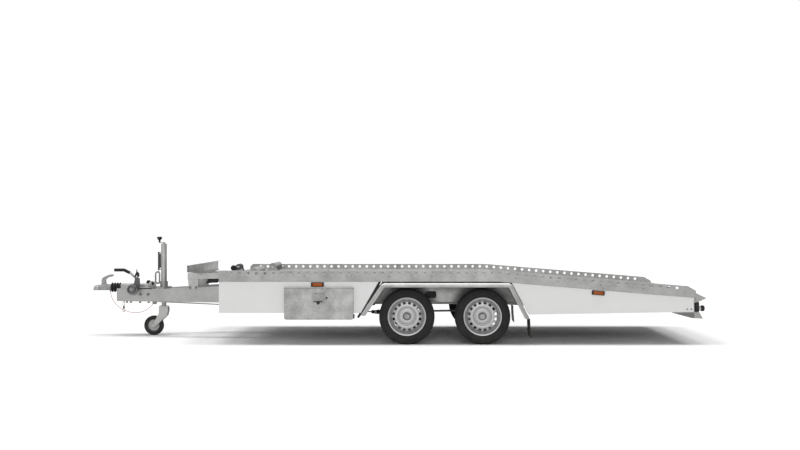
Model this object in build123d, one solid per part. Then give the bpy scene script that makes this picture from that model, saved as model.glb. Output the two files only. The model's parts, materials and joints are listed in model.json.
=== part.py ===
from build123d import *
import math
import os

# Open car transporter trailer with two axles, a V drawbar and a nose wheel.
# Frame: +X points to the rear, -Y is the trailer's left side, +Z is up.
# The origin is on the ground under the middle of the whole trailer. Sizes are in millimetres.

# Shared clearance, folded sheet, and how far a cutting shape passes the face that it cuts
seat_gap = 0.3
sheet = 3.0
cut_over = 1.0

# Loading deck: two runways between perforated side rails, bent down towards the rear
deck_length = 4485.0
deck_width = 2060.0
deck_height = 700.0
kink_from_front = 2625.0
rear_slope = 4.7
lip_overhang = 100.0
lip_step = 21.0
lip_tip_drop = 48.0
lip_foot_drop = 81.0
lip_foot_reach = 31.0
lip_wall = 4.0

# Side rail: web with a row of lashing holes and a bottom flange
rail_height = 105.0
rail_wall = 4.0
rail_flange = 40.0
rail_end_chamfer_length = 75.0
rail_end_chamfer_height = 38.0
rail_hole_radius = 14.0
rail_hole_drop = 28.0
rail_hole_pitch = 79.0
rail_hole_margin = 120.0

# Runway: folded floor with two downturned edges
runway_width = 620.0
runway_drop = 55.0
runway_sheet = 4.0
runway_slot_length = 60.0
runway_slot_width = 24.0
runway_slot_pitch = 158.0
runway_slot_rows = 3
runway_slot_depth = 12.0

# Chassis beams and cross members
beam_bottom = 355.0
beam_height = 128.0
beam_width = 60.0
beam_wall = 5.0
beam_inset = 470.0
beam_rear_height = 62.0
beam_rear_margin = 244.0
member_width = 50.0
member_wall = 4.0
member_end_margin = 28.0
rear_member_shares = [0.13, 0.35, 0.57, 0.79]

# V drawbar, from the coupling's tip to the deck's front
drawbar_reach = 1465.0
drawbar_nose = 268.0
drawbar_nose_spacing = 170.0
drawbar_join_from_axle = 723.0

# Wheels and rubber torsion axles
axle_from_front = 1768.0
axle_spacing = 715.0
wheel_inset = 138.0
tyre_diameter = 525.0
tyre_width = 195.0
tread_width = 144.0
shoulder_drop = 14.0
shoulder_inset = 6.0
bulge_drop = 45.0
wall_foot_inset = 7.0
bead_clearance = 1.0
rim_diameter = 330.2
rim_flange_height = 17.0
rim_width = 160.0
rim_wall = 6.0
rim_well_depth = 16.0
rim_seat_width = 30.0
rim_well_slope = 14.0
rim_lip_inset = 2.0
disc_offset = 30.0
disc_ring_rise = 9.0
disc_ring_outer = 113.0
disc_ring_inner = 84.0
disc_ring_slope = 4.0
disc_edge_drop = 18.0
vent_count = 16
vent_ring_radius = 127.0
vent_length = 30.0
vent_width = 17.0
vent_depth = 60.0
drum_radius = 112.0
drum_depth = 130.0
drum_shoulder = 40.0
drum_face_radius = 78.0
drum_face_depth = 12.0
hub_cap_radius = 32.0
hub_cap_reach = 30.0
hub_cap_chamfer = 8.0
hub_cap_clearance = 2.0
spindle_reach = 6.0
spindle_end_gap = 4.0
spindle_radius = 17.5
spindle_clearance = 0.3
axle_tube_size = 90.0
axle_tube_wall = 6.0
axle_tube_inset = 157.0
arm_length = 165.0
arm_width = 45.0
arm_boss_radius = 46.0
arm_eye_radius = 36.0
backing_plate_radius = 116.0
backing_plate_wall = 6.0

# Mudguards, flaps and side skirts
mudguard_proud = 20.0
mudguard_width = 262.0
mudguard_top = 584.0
mudguard_flat = 1217.0
mudguard_behind_mid = 17.0
mudguard_front_run = 206.0
mudguard_front_foot = 276.0
mudguard_rear_run = 174.0
mudguard_rear_foot = 245.0
mudguard_lip = 42.0
mudguard_bend = 60.0
mudguard_roll = 28.0
mudguard_wall_bottom = 390.0
mudguard_inner_bend = 12.0
window_from_axle = 227.0
window_length = 110.0
window_bottom = 425.0
window_height = 68.0
window_corner = 20.0
flap_height = 178.0
flap_wall = 6.0
flap_sweep = 12.0
flap_mid_share = 0.3
skirt_wall = 12.0
skirt_inset = 6.0
skirt_bottom = 300.0
rear_skirt_start = 285.0
rear_skirt_end = 310.0
skirt_gap = 10.0
skirt_top_gap = 38.0
skirt_rear_margin = 18.0

# Tool box on the left side
box_from_front = 613.0
box_length = 654.0
box_bottom = 239.0
box_top = 540.0
box_depth = 290.0
box_flange = 16.0
box_flange_wall = 4.0
box_corner = 17.0
box_lip_overhang = 4.0
hanger_width = 40.0
hanger_from_end = 60.0
door_wall = 16.0
door_gap = 3.0
door_top_gap = 6.0
door_corner = 14.0
hinge_radius = 5.0
hinge_end_margin = 20.0
latch_width = 131.0
latch_height = 104.0
latch_drop = 42.0
latch_wall = 8.0
latch_rim = 10.0
latch_floor = 2.0
paddle_margin = 22.0
paddle_foot = 30.0
paddle_head = 16.0

# Front frame ahead of the deck, with its board, winch and wheel stops
board_from_front = 333.0
board_side_inset = 165.0
board_top = 742.0
board_wall = 20.0
board_sheet = 4.0
board_foot = 30.0
front_beam_bottom = 590.0
front_beam_height = 57.0
front_beam_width = 50.0
front_beam_spacing = 540.0
front_beam_overhang = 106.0
front_leg_length = 108.0
front_leg_lean = 14.0
front_leg_inset = 5.0
front_tie_ahead = 20.0
front_tie_behind = 40.0
winch_from_front = 40.0
winch_width = 130.0
winch_length = 150.0
winch_wall = 4.0
winch_axis_rise = 104.0
winch_cheek_radius = 24.0
winch_drum_radius = 26.0
winch_flange_radius = 31.0
winch_arm_reach = 68.0
winch_arm_drop = 11.0
winch_arm_radius = 14.0
winch_arm_wall = 6.0
winch_knob_radius = 26.0
winch_knob_length = 90.0
stop_from_front = 325.0
stop_radius = 30.0
stop_wall = 4.0
stop_sink = 3.0
stop_side_margin = 14.0
stop_foot_half = 60.0
stop_neck_half = 26.0
stop_foot_wall = 6.0
stop_foot_inset = 4.0

# Overrun device and coupling
shaft_height = 490.0
shaft_radius = 25.0
ball_radius = 25.0
ball_clearance = 0.25
head_radius = 42.0
head_bottom = 461.0
head_length = 180.0
socket_depth = 14.0
neck_start = 12.0
neck_drop = 4.0
neck_front = (60.0, 54.0, 12.0)
neck_rear = (66.0, 62.0, 14.0)
clamp_length = 34.0
clamp_radius = 33.0
clamp_bore = 30.0
eye_thickness = 12.0
eye_width = 10.0
eye_drop = 14.0
eye_sink = 4.0
handle_rise = 36.0
handle_width = 32.0
handle_lug_width = 28.0
handle_lug_front = 36.0
handle_lug_length = 54.0
handle_lug_depth = 26.0
# Side view from the head's middle, as (behind, above its foot)
handle_outline = [(34, 0), (92, 0), (88, 28), (76, 44), (166, 82), (160, 106), (50, 60), (40, 28)]
bellows_length = 111.0
bellows_radius = 49.0
bellows_root_radius = 34.0
bellows_folds = 4
bellows_end_gap = 2.0
bellows_flat = 0.3
housing_length = 358.0
housing_half_height = 40.0
housing_half_width = 46.0
housing_edge = 14.0
housing_plate = 10.0
housing_plate_setback = 30.0
housing_rear_slope = 44.0
housing_end_wall = 40.0
shaft_end_gap = 20.0
shaft_front_gap = 1.0

# Hand brake
brake_pivot_from_tip = 456.0
brake_pivot_height = 482.0
brake_sector_radius = 55.0
brake_plate = 8.0
brake_foot_ahead = 30.0
brake_foot_behind = 60.0
brake_foot_drop = 60.0
brake_seat_wall = 8.0
brake_seat_lap = 6.0
lever_radius = 11.0
lever_sink = 4.0
grip_radius = 16.0
grip_start_share = 0.1
grip_end_wall = 21.0
release_radius = 7.0
# Side views from the pivot, as (behind, above)
lever_plate_outline = [(-22, -20), (26, -20), (56, 100), (16, 104)]
lever_line = [(40, 96), (-28, 161), (-93, 193), (-170, 193)]
release_line = [(44, 84), (30, 199)]

# Nose wheel
nose_from_tip = 725.0
nose_tube_radius = 30.0
nose_tube_bottom = 380.0
nose_tube_top = 938.0
nose_cap = 12.0
nose_rod_radius = 8.0
nose_rod_reach = 24.0
nose_rod_bottom = 667.0
nose_rod_top = 853.0
nose_rod_lug = 14.0
nose_clamp_half = 42.0
nose_clamp_wall = 12.0
nose_collar_height = 70.0
nose_collar_wall = 10.0
nose_loop_gap = 5.0
nose_loop_width = 42.0
nose_loop_bottom = 533.0
nose_loop_height = 114.0
nose_loop_bar = 9.0
nose_loop_stem = 18.0
nose_leg_radius = 24.0
nose_leg_clearance = 0.3
nose_leg_top = 850.0
nose_trail = 101.0
nose_wheel_radius = 100.0
nose_wheel_width = 56.0
nose_shoulder = 16.0
nose_round = 3.0
nose_wall_drop = 12.0
nose_edge = 6.0
nose_hub_radius = 62.0
nose_hub_web = 20.0
nose_hub_boss = 20.0
nose_hub_slope = 4.0
nose_hub_rim = 8.0
fork_gap = 7.0
fork_wall = 6.0
fork_head_top = 300.0
fork_head_length = 90.0
fork_head_wall = 10.0
# Side views of a fork cheek, as (behind, above): from the swivel at the head's top, and from the axle
fork_rear_edge = [(51, -40), (39, -96)]
fork_axle_end = [(12, -20), (-16, -14), (-20, 6), (4, 24)]
fork_front_drop = 70.0
nose_axle_radius = 8.0
nose_axle_proud = 8.0
crank_throw = 45.0
crank_hub_radius = 14.0
crank_hub_height = 16.0
crank_arm_height = 8.0
crank_arm_half = 8.0
# Crank knob, as (height, radius)
knob_profile = [(0, 9), (20, 10), (32, 21), (40, 25), (50, 25), (56, 20)]

# Rear light bar, lamps and side markers
light_bar_height = 161.0
light_bar_shelf = 50.0
light_bar_lip = 83.0
light_bar_lip_rise = 62.0
light_bar_inset = 14.0
light_bar_wall = 4.0
light_bar_side_gap = 2.0
light_brace_reach = 224.0
light_brace_rise = 63.0
light_gusset_rise = 24.0
lamp_width = 230.0
lamp_height = 84.0
lamp_depth = 30.0
lamp_corner = 10.0
lamp_drop = 55.0
lamp_from_side = 260.0
marker_length = 120.0
marker_height = 42.0
marker_depth = 24.0
marker_corner = 8.0
end_marker_radius = 28.0
end_marker_from_side = 50.0
end_marker_foot = (40.0, 44.0, 90.0)
end_marker_neck_length = 15.0
end_marker_head_length = 38.0
end_marker_neck_step = 8.0
end_marker_drop = 10.0
end_marker_foot_rise = 13.0

# Brake rod and breakaway cable
relay_from_tip = 600.0
relay_length = 42.0
relay_overlap = 8.0
relay_bottom = 312.0
relay_top = 364.0
relay_width = 20.0
carrier_top = 396.0
carrier_start = 4.0
carrier_length = 18.0
rod_radius = 6.0
rod_sink = 4.0
rod_side = 70.0
rod_front_height = 340.0
equaliser_from_axle = 330.0
equaliser_height = 232.0
equaliser_half = 90.0
equaliser_ahead = 8.0
equaliser_behind = 10.0
equaliser_depth = 28.0
pull_radius = 5.0
pull_spread = 70.0
pull_rise = 16.0
pull_end_gap = 120.0
cable_radius = 2.5
cable_arc_share = 0.45
# Hand-chosen points of the cable's hanging route from the head's eye to the relay lever.
# Columns: behind the coupling's tip, to the right of the middle, height
cable_table = [(172, 0, 446.7), (182, -1, 398), (203, -3, 350), (240, -6, 306), (290, -8, 268),
               (349, -9, 241), (413, -9, 228), (475, -6, 231), (529, 4, 248), (569, 22, 276),
               (597, 57, 308)]

# Side markers on the skirts. Columns: distance behind the deck's front, height of the lamp's middle
side_marker_table = [(928.0, 568.0), (3567.0, 489.0)]

# Stations worked out from the sizes above
overall_length = drawbar_reach + deck_length + lip_overhang
front_x = -overall_length / 2
rear_x = overall_length / 2
deck_rear_x = rear_x - lip_overhang
deck_front_x = deck_rear_x - deck_length
kink_x = deck_front_x + kink_from_front
deck_half = deck_width / 2
deck_fall = math.tan(math.radians(rear_slope))
beam_top = beam_bottom + beam_height
beam_y = deck_half - beam_inset
axle_x = [deck_front_x + axle_from_front, deck_front_x + axle_from_front + axle_spacing]
axle_mid_x = sum(axle_x) / 2
mudguard_reach = deck_half + mudguard_proud
mudguard_inner = mudguard_reach - mudguard_width
mudguard_mid = axle_mid_x + mudguard_behind_mid
wheel_z = tyre_diameter / 2
wheel_y = mudguard_reach - wheel_inset
axle_tube_half = wheel_y - axle_tube_inset
axle_tube_z = beam_bottom - axle_tube_size / 2
arm_angle = math.asin((axle_tube_z - wheel_z) / arm_length)
skirt_outer = deck_half - skirt_inset
skirt_inner = skirt_outer - skirt_wall
runway_outer = deck_half - rail_wall - seat_gap
runway_inner = runway_outer - runway_width
nose_x = front_x + nose_from_tip


# Shared shapes
def block(x0, x1, y0, y1, z0, z1):
    """Box between two corners."""
    return Pos((x0 + x1) / 2, (y0 + y1) / 2, (z0 + z1) / 2) * Box(x1 - x0, y1 - y0, z1 - z0)


def slab(outline, y0, y1):
    """Plate whose side view is an outline of (x, z) points, from y0 to y1."""
    path = Polyline([(x, y0, z) for x, z in outline], close=True)
    return extrude(make_face(path), amount=y1 - y0, dir=(0, 1, 0))


def rod(start, end, radius):
    """Round bar from one point to another."""
    run = Vector(end) - Vector(start)
    return Solid.make_cylinder(radius, run.length, Plane(origin=start, z_dir=run))


def turned(profile, centre, side=1):
    """Solid of revolution about an axis along Y: profile of (radius, y) points, y outwards."""
    cx, cy, cz = centre
    path = Polyline([(cx + r, cy + side * y, cz) for r, y in profile], close=True)
    return revolve(make_face(path), axis=Axis((cx, cy, cz), (0, 1, 0)))


def right_of(shape):
    """The same shape on the trailer's right side."""
    return mirror(shape, about=Plane.XZ)


def pair(shape):
    """A left piece and its right-hand twin as two solids."""
    return [shape, right_of(shape)]


def deck_z(x):
    """Height of the rails' top edge at a station."""
    return deck_height - max(0.0, x - kink_x) * deck_fall


def deck_strip(x0, x1, drop, depth):
    """Outline that follows the deck's line, from drop below the rails' top over a depth."""
    return [(x0, deck_z(x0) - drop), (x1, deck_z(x1) - drop),
            (x1, deck_z(x1) - drop - depth), (x0, deck_z(x0) - drop - depth)]


# Deck: the two lengths, before and behind the bend
deck_spans = [(deck_front_x, kink_x), (kink_x + seat_gap, deck_rear_x)]


def side_rail():
    """Left rail as its two lengths, each a web with lashing holes and a bottom flange."""
    hole_count = int((deck_length - 2 * rail_hole_margin) / rail_hole_pitch) + 1
    holes = []
    for i in range(hole_count):
        x = deck_front_x + rail_hole_margin + i * rail_hole_pitch
        z = deck_z(x) - rail_hole_drop
        inside = -deck_half + rail_wall + cut_over
        holes.append(rod((x, -deck_half - cut_over, z), (x, inside, z), rail_hole_radius))
    end_x, chamfer_x = deck_rear_x + cut_over, deck_rear_x - rail_end_chamfer_length
    chamfer = slab([(end_x, deck_z(deck_rear_x) + cut_over), (chamfer_x, deck_z(chamfer_x) + cut_over),
                    (chamfer_x, deck_z(chamfer_x)), (end_x, deck_z(deck_rear_x) - rail_end_chamfer_height)],
                   -deck_half - cut_over, -deck_half + rail_flange)
    lengths = []
    for x0, x1 in deck_spans:
        web = slab(deck_strip(x0, x1, 0, rail_height), -deck_half, -deck_half + rail_wall)
        foot = deck_strip(x0, x1, rail_height - rail_wall, rail_wall)
        flange = slab(foot, -deck_half, -deck_half + rail_flange)
        near = [h for h in holes if x0 - rail_hole_radius < h.center().X < x1 + rail_hole_radius]
        lengths.append(web + flange - near - chamfer)
    return lengths


def runway():
    """Left runway as its two lengths: a slotted floor with folded edges on flange and members."""
    lengths = []
    leg_foot = rail_height - rail_wall - seat_gap
    for x0, x1 in deck_spans:
        y0, y1 = -runway_outer, -runway_inner
        floor = slab(deck_strip(x0, x1, runway_drop, runway_sheet), y0, y1)
        outer = slab(deck_strip(x0, x1, runway_drop, leg_foot - runway_drop), y0, y0 + runway_sheet)
        inner_leg = deck_strip(x0, x1, runway_drop, rail_height - seat_gap - runway_drop)
        inner = slab(inner_leg, y1 - runway_sheet, y1)
        slots = []
        count = int((x1 - x0) / runway_slot_pitch)
        start = x0 + ((x1 - x0) - (count - 1) * runway_slot_pitch) / 2
        for i in range(count):
            for row in range(runway_slot_rows):
                x = start + i * runway_slot_pitch
                y = y0 + runway_width * (row + 0.5) / runway_slot_rows
                z = deck_z(x) - runway_drop
                slots.append(block(x - runway_slot_width / 2, x + runway_slot_width / 2,
                                   y - runway_slot_length / 2, y + runway_slot_length / 2,
                                   z - runway_slot_depth, z + runway_slot_depth))
        lengths.append(floor + outer + inner - slots)
    return lengths


def middle_floor():
    """Closed sheet between the runways as its two lengths, flat on the cross members."""
    half = runway_inner - seat_gap
    drop = rail_height - seat_gap - sheet
    return [slab(deck_strip(x0, x1, drop, sheet), -half, half) for x0, x1 in deck_spans]


def cross_members():
    """Channels across the chassis beams. Columns: station, half length."""
    full = skirt_inner - member_end_margin
    beside_box = skirt_outer - box_depth - member_end_margin
    beside_wheels = mudguard_inner - seat_gap
    box_x = deck_front_x + box_from_front
    table = [(deck_front_x + member_width / 2, full),
             (box_x - 2 * member_width, full),
             (box_x + box_length / 2, beside_box),
             (box_x + box_length + 2 * member_width, full),
             (axle_mid_x - axle_spacing / 4, beside_wheels),
             (axle_mid_x + axle_spacing / 4, beside_wheels)]
    rear_run = deck_rear_x - kink_x
    table += [(kink_x + rear_run * share, full) for share in rear_member_shares]
    depth = deck_height - rail_height - beam_top
    members = []
    for x, half in table:
        x0, x1 = x - member_width / 2, x + member_width / 2
        bar = slab(deck_strip(x0, x1, rail_height, depth), -half, half)
        channel = deck_strip(x0 + member_wall, x1 + cut_over, rail_height + member_wall,
                             depth - 2 * member_wall)
        members.append(bar - slab(channel, -half - cut_over, half + cut_over))
    return members


# Chassis: beams under the deck and the V drawbar that they grow from
drawbar_front_x = front_x + drawbar_nose
drawbar_join_x = axle_x[0] - drawbar_join_from_axle
drawbar_run = drawbar_join_x - drawbar_front_x
drawbar_lean = (beam_y - drawbar_nose_spacing / 2) / drawbar_run
drawbar_half = beam_width / 2 / math.cos(math.atan(drawbar_lean))


def drawbar_y(x):
    """Distance of a drawbar beam's middle from the centre line at a station."""
    return drawbar_nose_spacing / 2 + (x - drawbar_front_x) * drawbar_lean


def chassis_beam():
    """Left chassis beam: a channel open to the middle, tapered under the sloped deck."""
    end_x = deck_rear_x - beam_rear_margin
    end_top = beam_top - (end_x - kink_x) * deck_fall
    end_bottom = end_top - beam_rear_height
    w = beam_wall
    outer = [(drawbar_join_x, beam_bottom), (drawbar_join_x, beam_top), (kink_x, beam_top),
             (end_x, end_top), (end_x, end_bottom), (kink_x, beam_bottom)]
    start_x = drawbar_join_x + w
    inner = [(start_x, beam_bottom + w), (start_x, beam_top - w), (kink_x, beam_top - w),
             (end_x - w, end_top - w), (end_x - w, end_bottom + w), (kink_x, beam_bottom + w)]
    y0, y1 = -beam_y - beam_width / 2, -beam_y + beam_width / 2
    return slab(outer, y0, y1) - slab(inner, y0 + w, y1 + cut_over)


def drawbar_beam():
    """Left drawbar beam: a box section cut square to the trailer at both ends."""
    x0, x1 = drawbar_front_x, drawbar_join_x - seat_gap

    def prism(half, a, b, z0, z1):
        path = Polyline([(a, -drawbar_y(a) - half, z0), (b, -drawbar_y(b) - half, z0),
                         (b, -drawbar_y(b) + half, z0), (a, -drawbar_y(a) + half, z0)], close=True)
        return extrude(make_face(path), amount=z1 - z0, dir=(0, 0, 1))

    w = beam_wall
    shell = prism(drawbar_half, x0, x1, beam_bottom, beam_top)
    return shell - prism(drawbar_half - w, x0 + w, x1 + cut_over, beam_bottom + w, beam_top - w)


# Wheels and axles
def tyre(centre, side):
    """Tyre with flat tread, sloped shoulders and bulged walls."""
    r, w = tyre_diameter / 2, tyre_width / 2
    bead = rim_diameter / 2 + seat_gap
    wall_foot = bead + rim_flange_height + bead_clearance
    inside = rim_width / 2 - rim_wall - seat_gap
    half = [(r, tread_width / 2), (r - shoulder_drop, w - shoulder_inset), (r - bulge_drop, w),
            (wall_foot, w - wall_foot_inset), (wall_foot, inside), (bead, inside)]
    return turned(half + [(radius, -y) for radius, y in reversed(half)], centre, side)


def rim(centre, side):
    """Pressed steel wheel: barrel with flanges, dished disc with a ring of vents."""
    seat = rim_diameter / 2
    flange = seat + rim_flange_height
    half = rim_width / 2
    t = rim_wall
    well = seat - rim_well_depth
    shelf = half - rim_seat_width
    slope = shelf - rim_well_slope
    face, ring = disc_offset, disc_offset + disc_ring_rise
    edge = face - disc_edge_drop
    outer, inner = disc_ring_outer, disc_ring_inner
    foot = inner - disc_ring_slope
    hole = hub_cap_radius + hub_cap_clearance
    bead = [(flange, half), (flange, half - t), (seat, half - t), (seat, shelf), (well, slope)]
    back = [(radius, -y) for radius, y in reversed(bead)]
    back += [(seat - t, -half), (seat - t, -shelf - t), (well - t, -slope - t), (well - t, edge)]
    disc_back = [(outer, ring), (inner, ring), (foot, face), (hole, face)]
    disc_front = [(hole, face + t), (foot - t / 2, face + t), (inner - t / 2, ring + t),
                  (outer + t / 2, ring + t)]
    front = [(well - t, edge + t), (well - t, slope + t), (seat - t, shelf + t),
             (seat - t, half - rim_lip_inset)]
    wheel = turned(bead + back + disc_back + disc_front + front, centre, side)
    vents = []
    for i in range(vent_count):
        turn = Rot(0, 360.0 / vent_count * i, 0)
        slot = Pos(vent_ring_radius, side * face, 0) * Box(vent_width, vent_depth, vent_length)
        vents.append(Pos(*centre) * turn * slot)
    return wheel - vents


def drum(centre, side):
    """Brake drum with hub, bore for the spindle, and a grease cap through the disc."""
    face = disc_offset - seat_gap
    back = face - drum_depth
    bore = spindle_radius + spindle_clearance
    cap = disc_offset + rim_wall + hub_cap_reach
    bore_end = spindle_reach + spindle_end_gap
    profile = [(bore, back), (drum_radius, back), (drum_radius, face - drum_shoulder),
               (drum_face_radius, face - drum_face_depth), (drum_face_radius, face), (hub_cap_radius, face),
               (hub_cap_radius, cap - hub_cap_chamfer), (hub_cap_radius - hub_cap_chamfer, cap), (0, cap),
               (0, bore_end), (bore, bore_end)]
    return turned(profile, centre, side)


def axle_tube(x):
    """Six-sided torsion tube under the chassis beams."""
    cx = x - arm_length * math.cos(arm_angle)

    def hexagon(size):
        r = size / math.sqrt(3)
        corners = [math.radians(60 * k) for k in range(6)]
        return [(cx + r * math.cos(turn), axle_tube_z + r * math.sin(turn)) for turn in corners]

    half = axle_tube_half
    tube = slab(hexagon(axle_tube_size), -half, half)
    return tube - slab(hexagon(axle_tube_size - 2 * axle_tube_wall), -half - cut_over, half + cut_over)


def axle_arm(x):
    """Left trailing arm with its spindle and the brake's backing plate."""
    tx, tz = x - arm_length * math.cos(arm_angle), axle_tube_z
    y0 = -axle_tube_half - seat_gap
    y1 = y0 - arm_width
    boss, eye = arm_boss_radius, arm_eye_radius
    along = Vector(x - tx, 0, wheel_z - tz).normalized()
    across = Vector(-along.Z, 0, along.X)
    web = slab([(tx + across.X * boss, tz + across.Z * boss), (x + across.X * eye, wheel_z + across.Z * eye),
                (x - across.X * eye, wheel_z - across.Z * eye), (tx - across.X * boss, tz - across.Z * boss)],
               y1, y0)
    arm = web + rod((tx, y0, tz), (tx, y1, tz), boss) + rod((x, y0, wheel_z), (x, y1, wheel_z), eye)
    plate = rod((x, y1, wheel_z), (x, y1 - backing_plate_wall, wheel_z), backing_plate_radius)
    spindle = rod((x, y1, wheel_z), (x, -wheel_y - spindle_reach, wheel_z), spindle_radius)
    return arm + plate + spindle


# Mudguards, flaps and skirts
guard_path = [(mudguard_mid - mudguard_flat / 2 - mudguard_front_run, mudguard_front_foot),
              (mudguard_mid - mudguard_flat / 2, mudguard_top),
              (mudguard_mid + mudguard_flat / 2, mudguard_top),
              (mudguard_mid + mudguard_flat / 2 + mudguard_rear_run, mudguard_rear_foot)]


def inset_path(path, depth):
    """The open path of four points, moved inwards by a depth; its ends stay level with the path's."""
    (ax, az), (bx, bz), (cx, cz), (dx, dz) = path
    lean_a = math.atan2(bx - ax, bz - az)
    lean_d = math.atan2(dx - cx, cz - dz)
    shift_a = depth / math.cos(lean_a)
    shift_d = depth / math.cos(lean_d)
    z = bz - depth
    return [(ax + shift_a, az), (bx + shift_a - depth * math.tan(lean_a), z),
            (cx - shift_d + depth * math.tan(lean_d), z), (dx - shift_d, dz)]


def guard_band(start, depth, y0, y1, roll):
    """Arch between two depths below the mudguard's outer face, from y0 to y1, its edge at y0 rolled over."""
    outer = [(x, y0, z) for x, z in inset_path(guard_path, start)]
    inner = [(x, y0, z) for x, z in inset_path(guard_path, depth)]
    top = FilletPolyline(*outer, radius=mudguard_bend - start)
    bottom = FilletPolyline(*inner, radius=max(mudguard_bend - depth, mudguard_inner_bend))
    ends = [Line(outer[0], inner[0]), Line(outer[-1], inner[-1])]
    band = extrude(make_face([*top.edges(), *bottom.edges(), *ends]), amount=y1 - y0, dir=(0, 1, 0))
    crest = [edge.center() for edge in top.edges()]
    rolled = [edge for edge in band.edges() if any((edge.center() - c).length < seat_gap for c in crest)]
    return fillet(rolled, roll)


def guard_line(low, high, z, shift=0.0):
    """Station on a slanted side of the arch at a height, moved by a shift."""
    return low[0] + (high[0] - low[0]) * (z - low[1]) / (high[1] - low[1]) + shift


def mudguard():
    """Left mudguard: pressed arch rolled over into an outer lip, with an inner wall."""
    arch = guard_band(0, mudguard_lip, -mudguard_reach, -mudguard_inner, mudguard_roll)
    arch -= guard_band(sheet, mudguard_lip + cut_over, -mudguard_reach + sheet, -mudguard_inner + cut_over,
                       mudguard_roll - sheet)
    a, b, c, d = inset_path(guard_path, sheet / 2)
    foot = mudguard_wall_bottom
    corner_x, corner_z = mudguard_bend / 3, mudguard_bend / 6
    wall = slab([(guard_line(a, b, foot), foot), (b[0] + corner_x, b[1] - corner_z),
                 (c[0] - corner_x, c[1] - corner_z), (guard_line(d, c, foot), foot)],
                -mudguard_inner - sheet, -mudguard_inner)
    return arch + wall - wall_window()


def wall_window():
    """Rounded window through the inner wall between the wheels."""
    x0 = axle_x[0] + window_from_axle - window_length / 2
    cut = block(x0, x0 + window_length, -mudguard_inner - sheet - cut_over, -mudguard_inner + cut_over,
                window_bottom, window_bottom + window_height)
    return fillet(cut.edges().filter_by(Axis.Y), window_corner)


def mud_flap():
    """Left rubber flap below the mudguard's rear foot."""
    x, z = guard_path[3]
    y = -mudguard_reach
    top = z - seat_gap
    bottom = top - flap_height
    middle = (top + bottom) / 2

    def sweep_line(x0):
        return ThreePointArc((x0, y, top), (x0 + flap_sweep * flap_mid_share, y, middle),
                             (x0 + flap_sweep, y, bottom))

    front, back = sweep_line(x - flap_wall), sweep_line(x)
    ends = [Line(front @ 0, back @ 0), Line(front @ 1, back @ 1)]
    return extrude(make_face([*front.edges(), *back.edges(), *ends]), amount=mudguard_width, dir=(0, 1, 0))


def skirts(with_box):
    """The white panels ahead of and behind the mudguard on the left side."""
    top = deck_height - rail_height - seat_gap
    a, b, c, d = guard_path
    front = slab([(deck_front_x, skirt_bottom), (deck_front_x, top),
                  (guard_line(a, b, top, -skirt_top_gap), top),
                  (guard_line(a, b, skirt_bottom, -skirt_gap), skirt_bottom)], -skirt_outer, -skirt_inner)
    if with_box:
        front -= block(box_x0, box_x1, -skirt_outer - cut_over, -skirt_inner + cut_over,
                       box_bottom - cut_over, box_top - box_flange)

    def rear_top(x):
        return deck_z(x) - rail_height - seat_gap

    end_x = deck_rear_x - skirt_rear_margin
    start_x = guard_line(d, c, top, skirt_gap)
    bend_x = max(kink_x, start_x) + skirt_gap
    rear = slab([(guard_line(d, c, rear_skirt_start, skirt_gap), rear_skirt_start),
                 (start_x, rear_top(start_x) - skirt_gap / 3), (bend_x, rear_top(bend_x)),
                 (end_x, rear_top(end_x)), (end_x, rear_skirt_end)], -skirt_outer, -skirt_inner)
    return front, rear


# Tool box
box_x0 = deck_front_x + box_from_front + box_flange
box_x1 = deck_front_x + box_from_front + box_length - box_flange
box_front_y = -skirt_outer - seat_gap
door_back_y = box_front_y - box_flange_wall - seat_gap
door_front_y = door_back_y - door_wall
hinge_z = box_bottom + hinge_radius


def toolbox_body():
    """Open-fronted sheet box through the skirt, with a flange around its mouth and a rain lip."""
    x0, x1 = box_x0 + seat_gap, box_x1 - seat_gap
    z0, z1 = box_bottom + box_flange, box_top - box_flange - seat_gap
    y1 = box_front_y + box_depth
    shell = block(x0, x1, box_front_y, y1, z0, z1)
    shell -= block(x0 + sheet, x1 - sheet, box_front_y - cut_over, y1 - sheet, z0 + sheet, z1 - sheet)
    left, right = x0 - box_flange, x1 + box_flange
    flange_y = box_front_y - box_flange_wall
    flange = block(left, right, flange_y, box_front_y, z0 - box_flange, box_top)
    flange = fillet(flange.edges().filter_by(Axis.Y).group_by(Axis.Z)[0], box_corner)
    flange -= block(x0 + sheet, x1 - sheet, flange_y - cut_over, box_front_y + cut_over,
                    z0 + sheet, z1 - sheet)
    lip = block(left, right, door_front_y - box_lip_overhang, box_front_y, box_top - sheet, box_top)
    hang_y = -skirt_inner + seat_gap
    hang_top = deck_height - rail_height - seat_gap
    hangers = [block(x, x + hanger_width, hang_y, hang_y + sheet, z1 - cut_over, hang_top)
               for x in (x0 + hanger_from_end, x1 - hanger_from_end - hanger_width)]
    return shell + flange + lip + hangers


def toolbox_door():
    """Flanged door pan with a hinge roll along its lower edge and a recess for the latch."""
    x0, x1 = box_x0 - box_flange + door_gap, box_x1 + box_flange - door_gap
    z0, z1 = hinge_z, box_top - sheet - door_top_gap
    pan = block(x0, x1, door_front_y, door_back_y, z0, z1)
    pan = fillet(pan.edges().filter_by(Axis.Y), door_corner)
    latch_x = (x0 + x1) / 2
    latch_top = box_top - latch_drop
    recess = block(latch_x - latch_width / 2, latch_x + latch_width / 2, door_front_y - cut_over,
                   door_front_y + latch_wall, latch_top - latch_height, latch_top)
    roll_x0, roll_x1 = x0 + hinge_end_margin, x1 - hinge_end_margin
    roll = rod((roll_x0, door_front_y, hinge_z), (roll_x1, door_front_y, hinge_z), hinge_radius)
    return pan - recess + roll


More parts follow.
